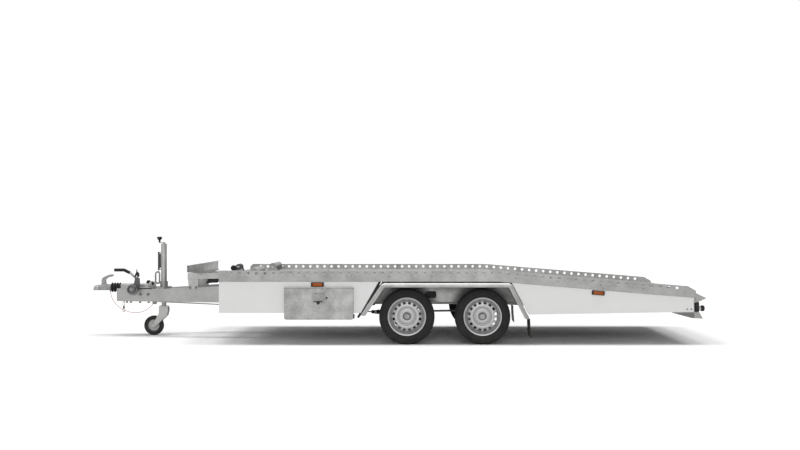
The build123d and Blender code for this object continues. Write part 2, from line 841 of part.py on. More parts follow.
def toolbox_latch():
    """Paddle latch in the door's recess."""
    mid = (box_x0 + box_x1) / 2
    x0, x1 = mid - latch_width / 2 + seat_gap, mid + latch_width / 2 - seat_gap
    z0, z1 = box_top - latch_drop - latch_height + seat_gap, box_top - latch_drop - seat_gap
    floor_y = door_front_y + latch_wall - seat_gap
    front_y = floor_y - latch_wall
    tray = block(x0, x1, front_y, floor_y, z0, z1)
    tray -= block(x0 + latch_rim, x1 - latch_rim, front_y - cut_over, floor_y - latch_floor,
                  z0 + latch_rim, z1 - latch_rim)
    paddle = block(x0 + paddle_margin, x1 - paddle_margin, front_y, floor_y - latch_floor / 2,
                   z0 + paddle_foot, z1 - paddle_head)
    return tray + paddle


# Front frame, winch and wheel stops
board_x = deck_front_x - board_from_front


def front_frame():
    """Two beams ahead of the deck, on legs that stand on the drawbar, and a cross tube under the board."""
    pieces = []
    top = front_beam_bottom + front_beam_height
    x0 = board_x - front_beam_overhang
    foot_z = beam_top + seat_gap
    y = front_beam_spacing / 2
    for side in (-1, 1):
        y0, y1 = side * y - front_beam_width / 2, side * y + front_beam_width / 2
        beam = block(x0, deck_front_x - seat_gap, y0, y1, front_beam_bottom, top)
        leg = slab([(x0, front_beam_bottom), (x0 + front_leg_length, front_beam_bottom),
                    (x0 + front_leg_length, foot_z), (x0 + front_leg_lean, foot_z)],
                   y0 + front_leg_inset, y1 - front_leg_inset)
        pieces.append(beam + leg)
    tie_half = y - front_beam_width / 2
    tie = block(board_x - front_tie_ahead, board_x + front_tie_behind, -tie_half, tie_half,
                front_beam_bottom, top)
    return pieces[0] + pieces[1] + tie


def front_board():
    """Folded board across the front, standing on the frame, with a lip at top and bottom."""
    half = deck_half - board_side_inset
    foot = front_beam_bottom + front_beam_height + seat_gap
    web = block(board_x, board_x + board_sheet, -half, half, foot, board_top)
    lip_top = block(board_x, board_x + board_wall, -half, half, board_top - board_sheet, board_top)
    lip_foot = block(board_x, board_x + board_foot, -half, half, foot, foot + board_sheet)
    return web + lip_top + lip_foot


winch_x = deck_front_x + winch_from_front
winch_base = deck_height - rail_height + sheet + 2 * seat_gap
winch_z = winch_base + winch_axis_rise


def winch_frame():
    """Folded base on the middle floor with two round-topped cheeks that carry the drum."""
    half = winch_width / 2
    x0, x1 = winch_x - winch_length / 2, winch_x + winch_length / 2
    r = winch_cheek_radius
    base = block(x0, x1, -half, half, winch_base, winch_base + winch_wall)
    inside = -half + winch_wall
    cheek = slab([(x0, winch_base), (winch_x - r, winch_z), (winch_x + r, winch_z), (x1, winch_base)],
                 -half, inside)
    cheek += rod((winch_x, -half, winch_z), (winch_x, inside, winch_z), r)
    return base + cheek + right_of(cheek)


def winch_drum():
    """Drum with its wound strap and two flanges between the cheeks."""
    half = winch_width / 2 - winch_wall - seat_gap
    spool = rod((winch_x, -half, winch_z), (winch_x, half, winch_z), winch_drum_radius)
    for y in (-half, half - winch_wall):
        spool += rod((winch_x, y, winch_z), (winch_x, y + winch_wall, winch_z), winch_flange_radius)
    return spool


def winch_handle():
    """Crank arm on the left cheek with a thick knob that points outwards."""
    y0 = -winch_width / 2 - seat_gap
    y1 = y0 - winch_arm_wall
    end_x, end_z = winch_x - winch_arm_reach, winch_z - winch_arm_drop
    r = winch_arm_radius
    arm = slab([(winch_x, winch_z - r), (winch_x, winch_z + r), (end_x, end_z + r), (end_x, end_z - r)],
               y1, y0)
    arm += rod((winch_x, y0, winch_z), (winch_x, y1, winch_z), r)
    return arm + rod((end_x, y0, end_z), (end_x, y1 - winch_knob_length, end_z), winch_knob_radius)


def wheel_stop():
    """Tube across the left runway on two end plates that stand on the floor."""
    x = deck_front_x + stop_from_front
    floor = deck_z(x) - runway_drop + seat_gap
    axis_z = deck_height - stop_sink
    y0, y1 = -runway_outer + stop_side_margin, -runway_inner - stop_side_margin
    bar = rod((x, y0, axis_z), (x, y1, axis_z), stop_radius)
    outline = [(x - stop_foot_half, floor), (x + stop_foot_half, floor), (x + stop_neck_half, axis_z),
               (x - stop_neck_half, axis_z)]
    feet = [slab(outline, y, y + stop_foot_wall)
            for y in (y0 + stop_foot_inset, y1 - stop_foot_inset - stop_foot_wall)]
    hole = rod((x, y0 - cut_over, axis_z), (x, y1 + cut_over, axis_z), stop_radius - stop_wall)
    return bar + feet - hole


# Overrun device, coupling and hand brake
head_x = front_x + head_radius
bellows_x0 = front_x + head_length
bellows_x1 = bellows_x0 + bellows_length
housing_x1 = bellows_x1 + housing_length
handle_foot = shaft_height + handle_rise
clamp_x = bellows_x0 - clamp_length


def coupling_head():
    """Cast ball socket with its neck and clamp, open below for the ball, and a lug under the handle."""
    socket_z = head_bottom + socket_depth
    dome = Pos(head_x, 0, socket_z) * Sphere(head_radius)
    dome += rod((head_x, 0, head_bottom), (head_x, 0, socket_z), head_radius)
    ends = [(head_x + neck_start, shaft_height - neck_drop, neck_front), (clamp_x, shaft_height, neck_rear)]
    neck = loft([Plane(origin=(x, 0, z), z_dir=(1, 0, 0)) * RectangleRounded(*size) for x, z, size in ends])
    clamp_end = bellows_x0 + bellows_end_gap / 2
    body = dome + neck + rod((clamp_x, 0, shaft_height), (clamp_end, 0, shaft_height), clamp_radius)
    body -= block(front_x - cut_over, clamp_end + cut_over, -2 * head_radius, 2 * head_radius,
                  head_bottom - head_radius, head_bottom)
    ball = ball_radius + ball_clearance
    body -= Pos(head_x, 0, socket_z) * Sphere(ball)
    body -= rod((head_x, 0, head_bottom - cut_over), (head_x, 0, socket_z), ball)
    body -= rod((bellows_x0 - clamp_bore, 0, shaft_height), (clamp_end + cut_over, 0, shaft_height),
                shaft_radius + seat_gap)
    eye_end = bellows_x0 - bellows_end_gap
    eye = block(eye_end - eye_thickness, eye_end, -eye_width / 2, eye_width / 2,
                head_bottom - eye_drop, head_bottom + eye_sink)
    lug_x, lug_top = head_x + handle_lug_front, handle_foot - seat_gap
    lug = block(lug_x, lug_x + handle_lug_length, -handle_lug_width / 2, handle_lug_width / 2,
                lug_top - handle_lug_depth, lug_top)
    return body + eye + lug


def coupling_handle():
    """Latch handle that rises from the head and lies back over the neck."""
    outline = [(head_x + behind, handle_foot + above) for behind, above in handle_outline]
    return slab(outline, -handle_width / 2, handle_width / 2)


def coupling_shaft():
    """Round draw bar from the head into the overrun housing."""
    start = bellows_x0 - clamp_bore + shaft_front_gap
    end = housing_x1 - housing_end_wall - shaft_end_gap
    return rod((start, 0, shaft_height), (end, 0, shaft_height), shaft_radius)


def overrun_bellows():
    """Rubber bellows between head and housing, with round folds on the draw bar."""
    run = (bellows_length - 2 * bellows_end_gap) / bellows_folds
    rise = run * (1 - bellows_flat) / 2
    outline = [(bellows_x0 + bellows_end_gap, shaft_radius + seat_gap)]
    for i in range(bellows_folds):
        x = bellows_x0 + bellows_end_gap + i * run
        outline += [(x, bellows_root_radius), (x + rise, bellows_radius), (x + run - rise, bellows_radius)]
    end_x = bellows_x1 - bellows_end_gap
    outline += [(end_x, bellows_root_radius), (end_x, shaft_radius + seat_gap)]
    path = Polyline([(x, 0, shaft_height + r) for x, r in outline], close=True)
    return revolve(make_face(path), axis=Axis((0, 0, shaft_height), (1, 0, 0)))


def overrun_housing():
    """Flat-sided casing around the draw bar, on a plate that is bolted on the drawbar beams."""
    x0, x1 = bellows_x1, housing_x1
    z0 = beam_top + seat_gap
    low, high = shaft_height - housing_half_height, shaft_height + housing_half_height
    casing = slab([(x0, low), (x0, high), (x1 - housing_rear_slope, high), (x1, z0 + housing_plate),
                   (x1, low)], -housing_half_width, housing_half_width)
    casing = fillet(casing.edges().filter_by(Axis.X), housing_edge)
    plate_x = x0 + housing_plate_setback
    ya, yb = drawbar_y(plate_x) + beam_width / 2, drawbar_y(x1) + beam_width / 2
    path = Polyline([(plate_x, -ya, z0), (x1, -yb, z0), (x1, yb, z0), (plate_x, ya, z0)], close=True)
    plate = extrude(make_face(path), amount=housing_plate, dir=(0, 0, 1))
    bore_end = x1 - housing_end_wall
    bore = rod((x0 - cut_over, 0, shaft_height), (bore_end, 0, shaft_height), shaft_radius + seat_gap)
    return casing + plate - bore


pivot_x = front_x + brake_pivot_from_tip
brake_side = drawbar_y(pivot_x + brake_foot_behind) + drawbar_half + seat_gap + brake_plate
lever_face_y = -brake_side - seat_gap
lever_y = lever_face_y - lever_sink - lever_radius


def beside_pivot(line, y):
    """Points of a side view from the brake's pivot, at a distance from the middle."""
    return [Vector(pivot_x + behind, y, brake_pivot_height + above) for behind, above in line]


def bent_bar(points, radius):
    """Round bar along straight runs with round bends."""
    bar = rod(points[0], points[1], radius)
    for a, b in zip(points[1:], points[2:]):
        bar += Pos(*a) * Sphere(radius)
        bar += rod(a, b, radius)
    return bar


def brake_bracket():
    """Round sector plate beside the left drawbar beam, with its foot and its seat on the housing's plate."""
    y0, y1 = -brake_side, -brake_side + brake_plate
    x0, x1 = pivot_x - brake_foot_ahead, pivot_x + brake_foot_behind
    z = brake_pivot_height
    sector = rod((pivot_x, y0, z), (pivot_x, y1, z), brake_sector_radius)
    foot = block(x0, x1, y0, y1, beam_top - brake_foot_drop, z)
    seat_z = beam_top + housing_plate + 2 * seat_gap
    seat_y = -drawbar_y(x0) - drawbar_half + brake_seat_lap
    seat = block(x0, x1, y0, seat_y, seat_z, seat_z + brake_seat_wall)
    return sector + foot + seat


def brake_lever():
    """Hand brake lever: side plate at the sector, a bent tube forward into the grip, and the release pin."""
    outline = [(pivot_x + behind, brake_pivot_height + above) for behind, above in lever_plate_outline]
    plate = slab(outline, lever_face_y - brake_plate, lever_face_y)
    release = rod(*beside_pivot(release_line, lever_face_y - brake_plate / 2), release_radius)
    return plate + bent_bar(beside_pivot(lever_line, lever_y), lever_radius) + release


def brake_grip():
    """Rubber sleeve over the lever's bent end, closed at its tip."""
    inside = beside_pivot(lever_line[1:], lever_y)
    start = inside[0] + (inside[1] - inside[0]) * grip_start_share
    tip = inside[2] + (inside[2] - inside[1]).normalized() * grip_end_wall
    return bent_bar([start, inside[1], tip], grip_radius) - bent_bar(inside, lever_radius + seat_gap)


# Nose wheel
def nose_tube():
    """Outer tube with a closed cap, and a thin rod on two lugs along its front."""
    tube = rod((nose_x, 0, nose_tube_bottom), (nose_x, 0, nose_tube_top), nose_tube_radius)
    rod_x = nose_x - nose_tube_radius - nose_rod_reach
    tube += rod((rod_x, 0, nose_rod_bottom), (rod_x, 0, nose_rod_top), nose_rod_radius)
    for z in (nose_rod_bottom, nose_rod_top - nose_rod_lug):
        tube += block(rod_x, nose_x, -nose_rod_radius / 2, nose_rod_radius / 2, z, z + nose_rod_lug)
    bore = nose_leg_radius + nose_leg_clearance
    return tube - rod((nose_x, 0, nose_tube_bottom - cut_over), (nose_x, 0, nose_tube_top - nose_cap), bore)


def nose_clamp():
    """Clamp across the two drawbar beams with a collar for the outer tube and an upright loop lever."""
    z0 = beam_top + seat_gap
    z1 = z0 + nose_collar_height
    reach = drawbar_y(nose_x - nose_clamp_half) + beam_width / 2
    bar = block(nose_x - nose_clamp_half, nose_x + nose_clamp_half, -reach, reach, z0, z0 + nose_clamp_wall)
    collar = rod((nose_x, 0, z0), (nose_x, 0, z1), nose_tube_radius + nose_collar_wall)
    loop_x1 = nose_x - nose_tube_radius - nose_collar_wall - nose_loop_gap
    loop_x0 = loop_x1 - nose_loop_width
    half = nose_loop_bar / 2
    loop = block(loop_x0, loop_x1, -half, half, nose_loop_bottom, nose_loop_bottom + nose_loop_height)
    loop = fillet(loop.edges().filter_by(Axis.Y), nose_loop_width / 3)
    gap = block(loop_x0 + nose_loop_bar, loop_x1 - nose_loop_bar, -half - cut_over, half + cut_over,
                nose_loop_bottom + nose_loop_bar, nose_loop_bottom + nose_loop_height - nose_loop_bar)
    loop -= fillet(gap.edges().filter_by(Axis.Y), nose_loop_width / 6)
    stem = block(loop_x1 - nose_loop_bar, nose_x, -half, half, z1 - nose_loop_stem, z1)
    hole = rod((nose_x, 0, z0 - cut_over), (nose_x, 0, z1 + cut_over), nose_tube_radius + seat_gap)
    return bar + collar + loop + stem - hole


knob_x = nose_x - crank_throw
crank_z = nose_tube_top + seat_gap


def nose_crank():
    """Flat crank arm on a hub above the tube's cap."""
    top = crank_z + crank_hub_height
    hub = rod((nose_x, 0, crank_z), (nose_x, 0, top), crank_hub_radius)
    half = crank_arm_half
    return hub + block(knob_x - half, nose_x + half, -half, half, top - crank_arm_height, top)


def crank_knob():
    """Flared knob that stands on the crank's end."""
    foot = crank_z + crank_hub_height + seat_gap
    axis = [(0, knob_profile[0][0]), (0, knob_profile[-1][0])]
    outline = axis[:1] + [(radius, height) for height, radius in knob_profile] + axis[1:]
    path = Polyline([(knob_x + radius, 0, foot + height) for radius, height in outline], close=True)
    return revolve(make_face(path), axis=Axis((knob_x, 0, 0), (0, 0, 1)))


def nose_leg():
    """Inner tube that slides in the outer one, down to the fork's swivel."""
    return rod((nose_x, 0, fork_head_top + seat_gap), (nose_x, 0, nose_leg_top), nose_leg_radius)


nose_wheel_x = nose_x - nose_trail
fork_y = nose_wheel_width / 2 + fork_gap


def nose_fork():
    """Swivelling fork: head under the leg, two cheeks and the wheel's axle."""
    half = fork_head_length / 2
    side = fork_y + fork_wall
    z = nose_wheel_radius
    outline = [(nose_x - half, fork_head_top), (nose_x + half, fork_head_top)]
    outline += [(nose_x + behind, fork_head_top + above) for behind, above in fork_rear_edge]
    outline += [(nose_wheel_x + behind, z + above) for behind, above in fork_axle_end]
    outline += [(nose_x - half, fork_head_top - fork_front_drop)]
    cheek = slab(outline, -side, -fork_y)
    head = block(nose_x - half, nose_x + half, -side, side, fork_head_top - fork_head_wall, fork_head_top)
    pin_y = side + nose_axle_proud
    pin = rod((nose_wheel_x, -pin_y, z), (nose_wheel_x, pin_y, z), nose_axle_radius)
    return cheek + right_of(cheek) + head + pin


def nose_tyre():
    """Solid rubber tread of the nose wheel."""
    r, w = nose_wheel_radius, nose_wheel_width / 2
    half = [(r, w - nose_shoulder), (r - nose_round, w - nose_shoulder / 2), (r - nose_wall_drop, w),
            (nose_hub_radius + seat_gap, w - nose_edge)]
    return turned(half + [(radius, -y) for radius, y in reversed(half)], (nose_wheel_x, 0, nose_wheel_radius))


def nose_rim():
    """Dished hub of the nose wheel with a bore for the axle."""
    r, w = nose_hub_radius, nose_wheel_width / 2
    web = nose_hub_web / 2
    half = [(r, w - nose_edge), (r - nose_hub_rim, web), (nose_hub_boss + nose_hub_slope, web),
            (nose_hub_boss, w), (nose_axle_radius + spindle_clearance, w)]
    return turned(half + [(radius, -y) for radius, y in reversed(half)], (nose_wheel_x, 0, nose_wheel_radius))


# Rear end, lamps and markers
lip_top = deck_z(deck_rear_x) - rail_end_chamfer_height - lip_step
bar_x = deck_rear_x - light_bar_inset
bar_top = lip_top - lip_foot_drop - seat_gap
lamp_x = bar_x + light_bar_wall + seat_gap
lamp_z = bar_top - lamp_drop


def rear_lip():
    """Wedge-shaped loading edge behind the deck, a hollow beam with closed ends."""
    x0 = deck_rear_x + seat_gap
    foot = lip_top - lip_foot_drop
    outline = [(x0, lip_top), (rear_x, lip_top - lip_tip_drop), (x0 + lip_foot_reach, foot), (x0, foot)]
    side = make_face(Polyline([(x, -deck_half, z) for x, z in outline], close=True))
    hollow = offset(side, amount=-lip_wall, kind=Kind.INTERSECTION)
    inside = Pos(0, lip_wall, 0) * extrude(hollow, amount=deck_width - 2 * lip_wall, dir=(0, 1, 0))
    return extrude(side, amount=deck_width, dir=(0, 1, 0)) - inside


def light_bar():
    """Folded panel below the loading edge that carries the lamps, with a slanted lower lip,
    a brace below and a gusset plate at each end."""
    w = light_bar_wall
    bottom = bar_top - light_bar_height
    shelf = bottom + light_bar_lip_rise
    lip_x, brace_x, brace_z = bar_x + light_bar_lip, bar_x - light_brace_reach, bottom + light_brace_rise
    outline = [(bar_x, bar_top), (bar_x + w, bar_top), (bar_x + w, shelf), (bar_x + light_bar_shelf, shelf),
               (lip_x, bottom + w), (lip_x, bottom), (bar_x, bottom + w),
               (brace_x, brace_z), (brace_x, brace_z + w), (bar_x, bottom + 3 * w)]
    half = skirt_inner - light_bar_side_gap
    upper = block(bar_x, deck_rear_x + lip_foot_reach, -half, half, bar_top - w, bar_top)
    gusset = slab([(brace_x, brace_z + w / 2), (bar_x + w / 2, bottom + 2 * w),
                   (bar_x + w / 2, brace_z + light_gusset_rise), (brace_x, brace_z + light_gusset_rise)],
                  -half, -half + w)
    return slab(outline, -half, half) + upper + gusset + right_of(gusset)


def tail_lamp():
    """Left rear lamp cluster on the light bar."""
    y = -deck_half + lamp_from_side
    body = block(lamp_x, lamp_x + lamp_depth, y - lamp_width / 2, y + lamp_width / 2,
                 lamp_z - lamp_height / 2, lamp_z + lamp_height / 2)
    return fillet(body.edges().filter_by(Axis.X), lamp_corner)


def end_marker():
    """Left end marker lamp on a rubber foot, pointing back."""
    y, z = -deck_half + end_marker_from_side, lamp_z - end_marker_drop
    depth, width, height = end_marker_foot
    foot_z = z + end_marker_foot_rise
    foot = block(lamp_x, lamp_x + depth, y - width / 2, y + width / 2,
                 foot_z - height / 2, foot_z + height / 2)
    neck_x = lamp_x + depth
    head_start = neck_x + end_marker_neck_length
    head_end = head_start + end_marker_head_length
    neck = rod((neck_x, y, z), (head_start, y, z), end_marker_radius - end_marker_neck_step)
    return foot + neck + rod((head_start, y, z), (head_end, y, z), end_marker_radius)


def side_marker(from_front, height):
    """Amber lamp in a black housing on the left skirt, along the deck's line."""
    x = deck_front_x + from_front
    lean = rear_slope if x > kink_x else 0.0
    body = Box(marker_length, marker_depth, marker_height)
    body = fillet(body.edges().filter_by(Axis.Y), marker_corner)
    y = -skirt_outer - seat_gap - marker_depth / 2
    return Pos(x, y, height) * Rot(0, lean, 0) * body


# Brake rod and breakaway cable
relay_x = front_x + relay_from_tip - relay_overlap
equaliser_x = axle_x[0] - equaliser_from_axle


def brake_rod():
    """Rod from the relay lever under the overrun housing to the equaliser at the first axle."""
    y, z = rod_side, equaliser_height
    y0, y1 = y - relay_width / 2, y + relay_width / 2
    relay = block(relay_x, relay_x + relay_length, y0, y1, relay_bottom, relay_top)
    carrier_x = relay_x + relay_overlap + carrier_start
    carrier_y = drawbar_y(carrier_x) - drawbar_half - seat_gap
    carrier = block(carrier_x, carrier_x + carrier_length, y0, carrier_y, relay_top, carrier_top)
    start = relay_x + relay_length - rod_sink
    shaft = rod((start, y, rod_front_height), (equaliser_x, y, z), rod_radius)
    bar_end = equaliser_x + equaliser_behind
    bar = block(equaliser_x - equaliser_ahead, bar_end, y - equaliser_half, y + equaliser_half,
                z - equaliser_depth / 2, z + equaliser_depth / 2)
    pull_end = axle_x[1] - pull_end_gap
    pulls = [rod((bar_end, side, z), (pull_end, side, z + pull_rise), pull_radius)
             for side in (y - pull_spread, y + pull_spread)]
    return relay + carrier + shaft + bar + pulls


def breakaway_cable():
    """Hanging cable as straight runs joined by tangent arcs."""
    points = [Vector(front_x + behind, y, z) for behind, y, z in cable_table]
    runs = [(b - a).length for a, b in zip(points, points[1:])]
    radii = []
    for i in range(1, len(points) - 1):
        turn = (points[i] - points[i - 1]).get_angle(points[i + 1] - points[i])
        radii.append(cable_arc_share * min(runs[i - 1], runs[i]) / math.tan(math.radians(turn) / 2))
    path = FilletPolyline(*points, radius=radii)
    start = Plane(origin=path @ 0, z_dir=path % 0)
    return sweep(start * Circle(cable_radius), path=path)


def build():
    """All nodes by name, each a list of solids."""
    nodes = {}
    rail, track = side_rail(), runway()
    nodes["side_rail_left"] = rail
    nodes["side_rail_right"] = [right_of(s) for s in rail]
    nodes["runway_left"] = track
    nodes["runway_right"] = [right_of(s) for s in track]
    nodes["middle_floor"] = middle_floor()
    nodes["cross_members"] = cross_members()
    nodes["chassis_beams"] = pair(chassis_beam())
    nodes["drawbar_beams"] = pair(drawbar_beam())

    for end, x in zip(("front", "rear"), axle_x):
        nodes[f"axle_tube_{end}"] = [axle_tube(x)]
        nodes[f"axle_arms_{end}"] = pair(axle_arm(x))
        for hand, side in (("left", -1), ("right", 1)):
            centre = (x, side * wheel_y, wheel_z)
            nodes[f"tyre_{end}_{hand}"] = [tyre(centre, side)]
            nodes[f"rim_{end}_{hand}"] = [rim(centre, side)]
            nodes[f"drum_{end}_{hand}"] = [drum(centre, side)]

    guard = mudguard()
    nodes["mudguard_left"] = [guard]
    nodes["mudguard_right"] = [right_of(guard)]
    nodes["mud_flaps"] = pair(mud_flap())
    left_front, left_rear = skirts(True)
    right_front, _ = skirts(False)
    nodes["skirts_left"] = [left_front, left_rear]
    nodes["skirts_right"] = [right_of(right_front), right_of(left_rear)]

    nodes["toolbox_body"] = [toolbox_body()]
    nodes["toolbox_door"] = [toolbox_door()]
    nodes["toolbox_latch"] = [toolbox_latch()]

    nodes["front_frame"] = [front_frame()]
    nodes["front_board"] = [front_board()]
    nodes["winch_frame"] = [winch_frame()]
    nodes["winch_drum"] = [winch_drum(), winch_handle()]
    nodes["wheel_stops"] = pair(wheel_stop())

    nodes["coupling_head"] = [coupling_head()]
    nodes["coupling_handle"] = [coupling_handle()]
    nodes["coupling_shaft"] = [coupling_shaft()]
    nodes["overrun_bellows"] = [overrun_bellows()]
    nodes["overrun_housing"] = [overrun_housing()]
    nodes["brake_bracket"] = [brake_bracket()]
    nodes["brake_lever"] = [brake_lever()]
    nodes["brake_grip"] = [brake_grip()]
    nodes["brake_rod"] = [brake_rod()]
    nodes["breakaway_cable"] = [breakaway_cable()]

    nodes["nose_tube"] = [nose_tube()]
    nodes["nose_clamp"] = [nose_clamp()]
    nodes["nose_crank"] = [nose_crank()]
    nodes["crank_knob"] = [crank_knob()]
    nodes["nose_leg"] = [nose_leg()]
    nodes["nose_fork"] = [nose_fork()]
    nodes["nose_tyre"] = [nose_tyre()]
    nodes["nose_rim"] = [nose_rim()]

    nodes["rear_lip"] = [rear_lip()]
    nodes["light_bar"] = [light_bar()]
    nodes["tail_lamps"] = pair(tail_lamp())
    nodes["end_markers"] = pair(end_marker())
    markers = [side_marker(*row) for row in side_marker_table]
    nodes["side_markers"] = markers + [right_of(m) for m in markers]
    return nodes


os.makedirs("parts", exist_ok=True)
for name, shapes in build().items():
    solids = [solid for shape in shapes for solid in shape.solids()]
    export_step(solids[0] if len(solids) == 1 else Compound(solids), f"parts/{name}.step")
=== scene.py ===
import json
import math

import bmesh
import bpy
from mathutils import Matrix, Vector

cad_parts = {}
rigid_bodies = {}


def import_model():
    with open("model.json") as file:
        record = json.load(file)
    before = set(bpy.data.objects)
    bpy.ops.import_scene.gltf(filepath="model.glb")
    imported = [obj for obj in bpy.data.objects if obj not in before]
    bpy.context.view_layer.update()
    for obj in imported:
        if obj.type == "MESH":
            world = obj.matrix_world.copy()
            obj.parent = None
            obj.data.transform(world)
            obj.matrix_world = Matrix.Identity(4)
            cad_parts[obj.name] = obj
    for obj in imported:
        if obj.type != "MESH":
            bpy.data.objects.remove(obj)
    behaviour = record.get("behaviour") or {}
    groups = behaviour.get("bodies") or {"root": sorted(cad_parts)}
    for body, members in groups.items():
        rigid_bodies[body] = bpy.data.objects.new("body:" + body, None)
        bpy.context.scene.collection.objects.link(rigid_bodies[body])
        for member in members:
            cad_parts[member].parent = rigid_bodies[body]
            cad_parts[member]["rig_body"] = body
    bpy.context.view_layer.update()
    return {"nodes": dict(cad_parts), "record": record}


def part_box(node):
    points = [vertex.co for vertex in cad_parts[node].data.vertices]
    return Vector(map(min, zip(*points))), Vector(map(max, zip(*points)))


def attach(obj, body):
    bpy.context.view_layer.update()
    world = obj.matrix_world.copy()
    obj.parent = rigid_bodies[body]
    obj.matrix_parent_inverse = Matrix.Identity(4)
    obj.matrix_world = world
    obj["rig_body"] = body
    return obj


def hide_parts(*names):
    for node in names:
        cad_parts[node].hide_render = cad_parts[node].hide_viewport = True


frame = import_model()
nodes = frame["nodes"]

# Sizes in metres, in the trailer's own frame: +X to the rear, -Y to its left, +Z up
TYRE_SEGMENTS = 96
TREAD_DEPTH = 0.007
TREAD_ROWS = 5
TREAD_BLOCKS = 60
TREAD_WIDTH = 0.146
BLOCK_GAP = 0.004
BLOCK_SINK = 0.0006
BEAD_RADIUS = 0.1655
# The deck bends down behind the wheels: where, and by how many degrees
DECK_BEND = 1.065
DECK_FALL = 4.7
RAIL_BOLT_PITCH = 0.3985
RAIL_BOLT_FIRST = -1.154
RAIL_BOLT_COUNT = 11

# View of the photograph, found from the wheels and the two rails: lens in pixels, place in metres
PHOTO_WIDTH = 800
PHOTO_FOCAL = 1145
PHOTO_CENTRE_OFFSET = (15, 4)
CAMERA_PLACE = (0.2845, -11.79, 1.09)
SENSOR_WIDTH = 36.0

# Even light. Columns: name, tilt from overhead, turn from the left side to the rear, spread, strength
SKY_LAMPS = (("overhead", 2.0, 0.0, 20.0, 0.8), ("overhead_front", 28.0, -90.0, 24.0, 0.8),
             ("overhead_rear", 28.0, 90.0, 24.0, 0.8), ("front_fill", 76.0, 0.0, 26.0, 0.66),
             ("left_fill", 74.0, -68.0, 30.0, 0.25))
SURROUND_STRENGTH = 0.36

SIDES = (("left", -1), ("right", 1))
AXLES = ("front", "rear")
AXLE_STATIONS = (0.208, 0.923)
WHEEL_HEIGHT = 0.2625
WASHER_HEIGHT = 0.0016

# Looks: how far from a wheel's middle the painted shade round a tyre is thick and ends, where the mudguard's
# wall and the painted highlight on its rolled edge set in from the centre line, dust and metallic share of
# zinc, pitch of a lens's prisms
SHADE_CORE, SHADE_REACH = 0.262, 0.35
GUARD_WALL, GUARD_HIGHLIGHT = (0.98, 0.93), (1.0, 1.03)
ZINC_DUST, ZINC_METALLIC = 0.25, 0.6
LENS_PITCH = 0.006


# Node helpers
def feed(tree, node, inputs):
    """Give a node's inputs values or links."""
    for key, value in inputs.items():
        if isinstance(value, bpy.types.NodeSocket):
            tree.links.new(value, node.inputs[key])
        else:
            node.inputs[key].default_value = value


def add(tree, kind, inputs=None, **settings):
    """One node with its settings, and its inputs as values or links."""
    made = tree.nodes.new(kind)
    for key, value in settings.items():
        setattr(made, key, value)
    feed(tree, made, inputs or {})
    return made


def maths(tree, operation, *values):
    """Result of a maths node on values or links."""
    return add(tree, "ShaderNodeMath", dict(enumerate(values)), operation=operation).outputs[0]


def ranged(tree, value, start=0.0, end=1.0, low=0.0, high=1.0, **settings):
    """A value mapped from the range start to end onto the range low to high."""
    return add(tree, "ShaderNodeMapRange", {"Value": value, "From Min": start, "From Max": end, "To Min": low,
                                            "To Max": high}, **settings).outputs["Result"]


def mixed(tree, share, first, second):
    """Colour between two others."""
    return add(tree, "ShaderNodeMixRGB", {"Fac": share, "Color1": first, "Color2": second}).outputs["Color"]


def noise(tree, place, scale, detail, roughness=0.5):
    """Outputs of a noise texture."""
    return add(tree, "ShaderNodeTexNoise", {"Vector": place, "Scale": scale, "Detail": detail,
                                            "Roughness": roughness}).outputs


def grey(value):
    return (value, value, value, 1)


def socket(tree, label, way, kind):
    """New socket of a group."""
    return tree.interface.new_socket(label, in_out=way, socket_type="NodeSocket" + kind)


def shader_group(name, inputs, outputs):
    """Shader group from its inputs' default values and its outputs' names.
    Returns its tree, its inputs, its output node and the object's coordinates."""
    tree = bpy.data.node_groups.new(name, "ShaderNodeTree")
    for label, value in inputs.items():
        kind = "Color" if isinstance(value, tuple) else "Float"
        socket(tree, label, "INPUT", kind).default_value = value
    for label in outputs:
        socket(tree, label, "OUTPUT", "Color" if label == "Color" else "Float")
    place = add(tree, "ShaderNodeTexCoord").outputs["Object"]
    return tree, tree.nodes.new("NodeGroupInput").outputs, tree.nodes.new("NodeGroupOutput"), place


def make_zinc_bloom():
    """Crystal grain and cloudy bloom of a dipped zinc coat."""
    tree, given, result, place = shader_group(
        "zinc_bloom", {"Grain scale": 70.0, "Cloud scale": 7.0, "Grain share": 0.2}, ("Shade", "Height"))
    bent = mixed(tree, 0.02, place, noise(tree, place, 30.0, 2.0)["Color"])
    grain = add(tree, "ShaderNodeTexVoronoi", {"Vector": bent, "Scale": given["Grain scale"]})
    tone = add(tree, "ShaderNodeSeparateColor", {"Color": grain.outputs["Color"]}).outputs
    cloud = noise(tree, place, given["Cloud scale"], 6.0, 0.62)["Fac"]
    shade = add(tree, "ShaderNodeMix", {"Factor": given["Grain share"], "A": ranged(tree, cloud, 0.3, 0.7),
                                        "B": tone["Red"]})
    feed(tree, result, {"Shade": shade.outputs["Result"], "Height": tone["Green"]})
    return tree


def make_road_dust():
    """Colour with dust that thickens towards the road, in blotches."""
    tree, given, result, place = shader_group(
        "road_dust", {"Color": grey(0.5), "Dust": (0.24, 0.22, 0.19, 1), "Amount": 0.3, "Reach": 0.6},
        ("Color",))
    height = add(tree, "ShaderNodeSeparateXYZ", {"Vector": place}).outputs["Z"]
    low = ranged(tree, height, given["Reach"], 0.0)
    spots = ranged(tree, noise(tree, place, 9.0, 8.0, 0.7)["Fac"], 0.35, 0.75)
    mask = maths(tree, "MULTIPLY", maths(tree, "MULTIPLY", low, spots), given["Amount"])
    feed(tree, result, {"Color": mixed(tree, mask, given["Color"], given["Dust"])})
    return tree


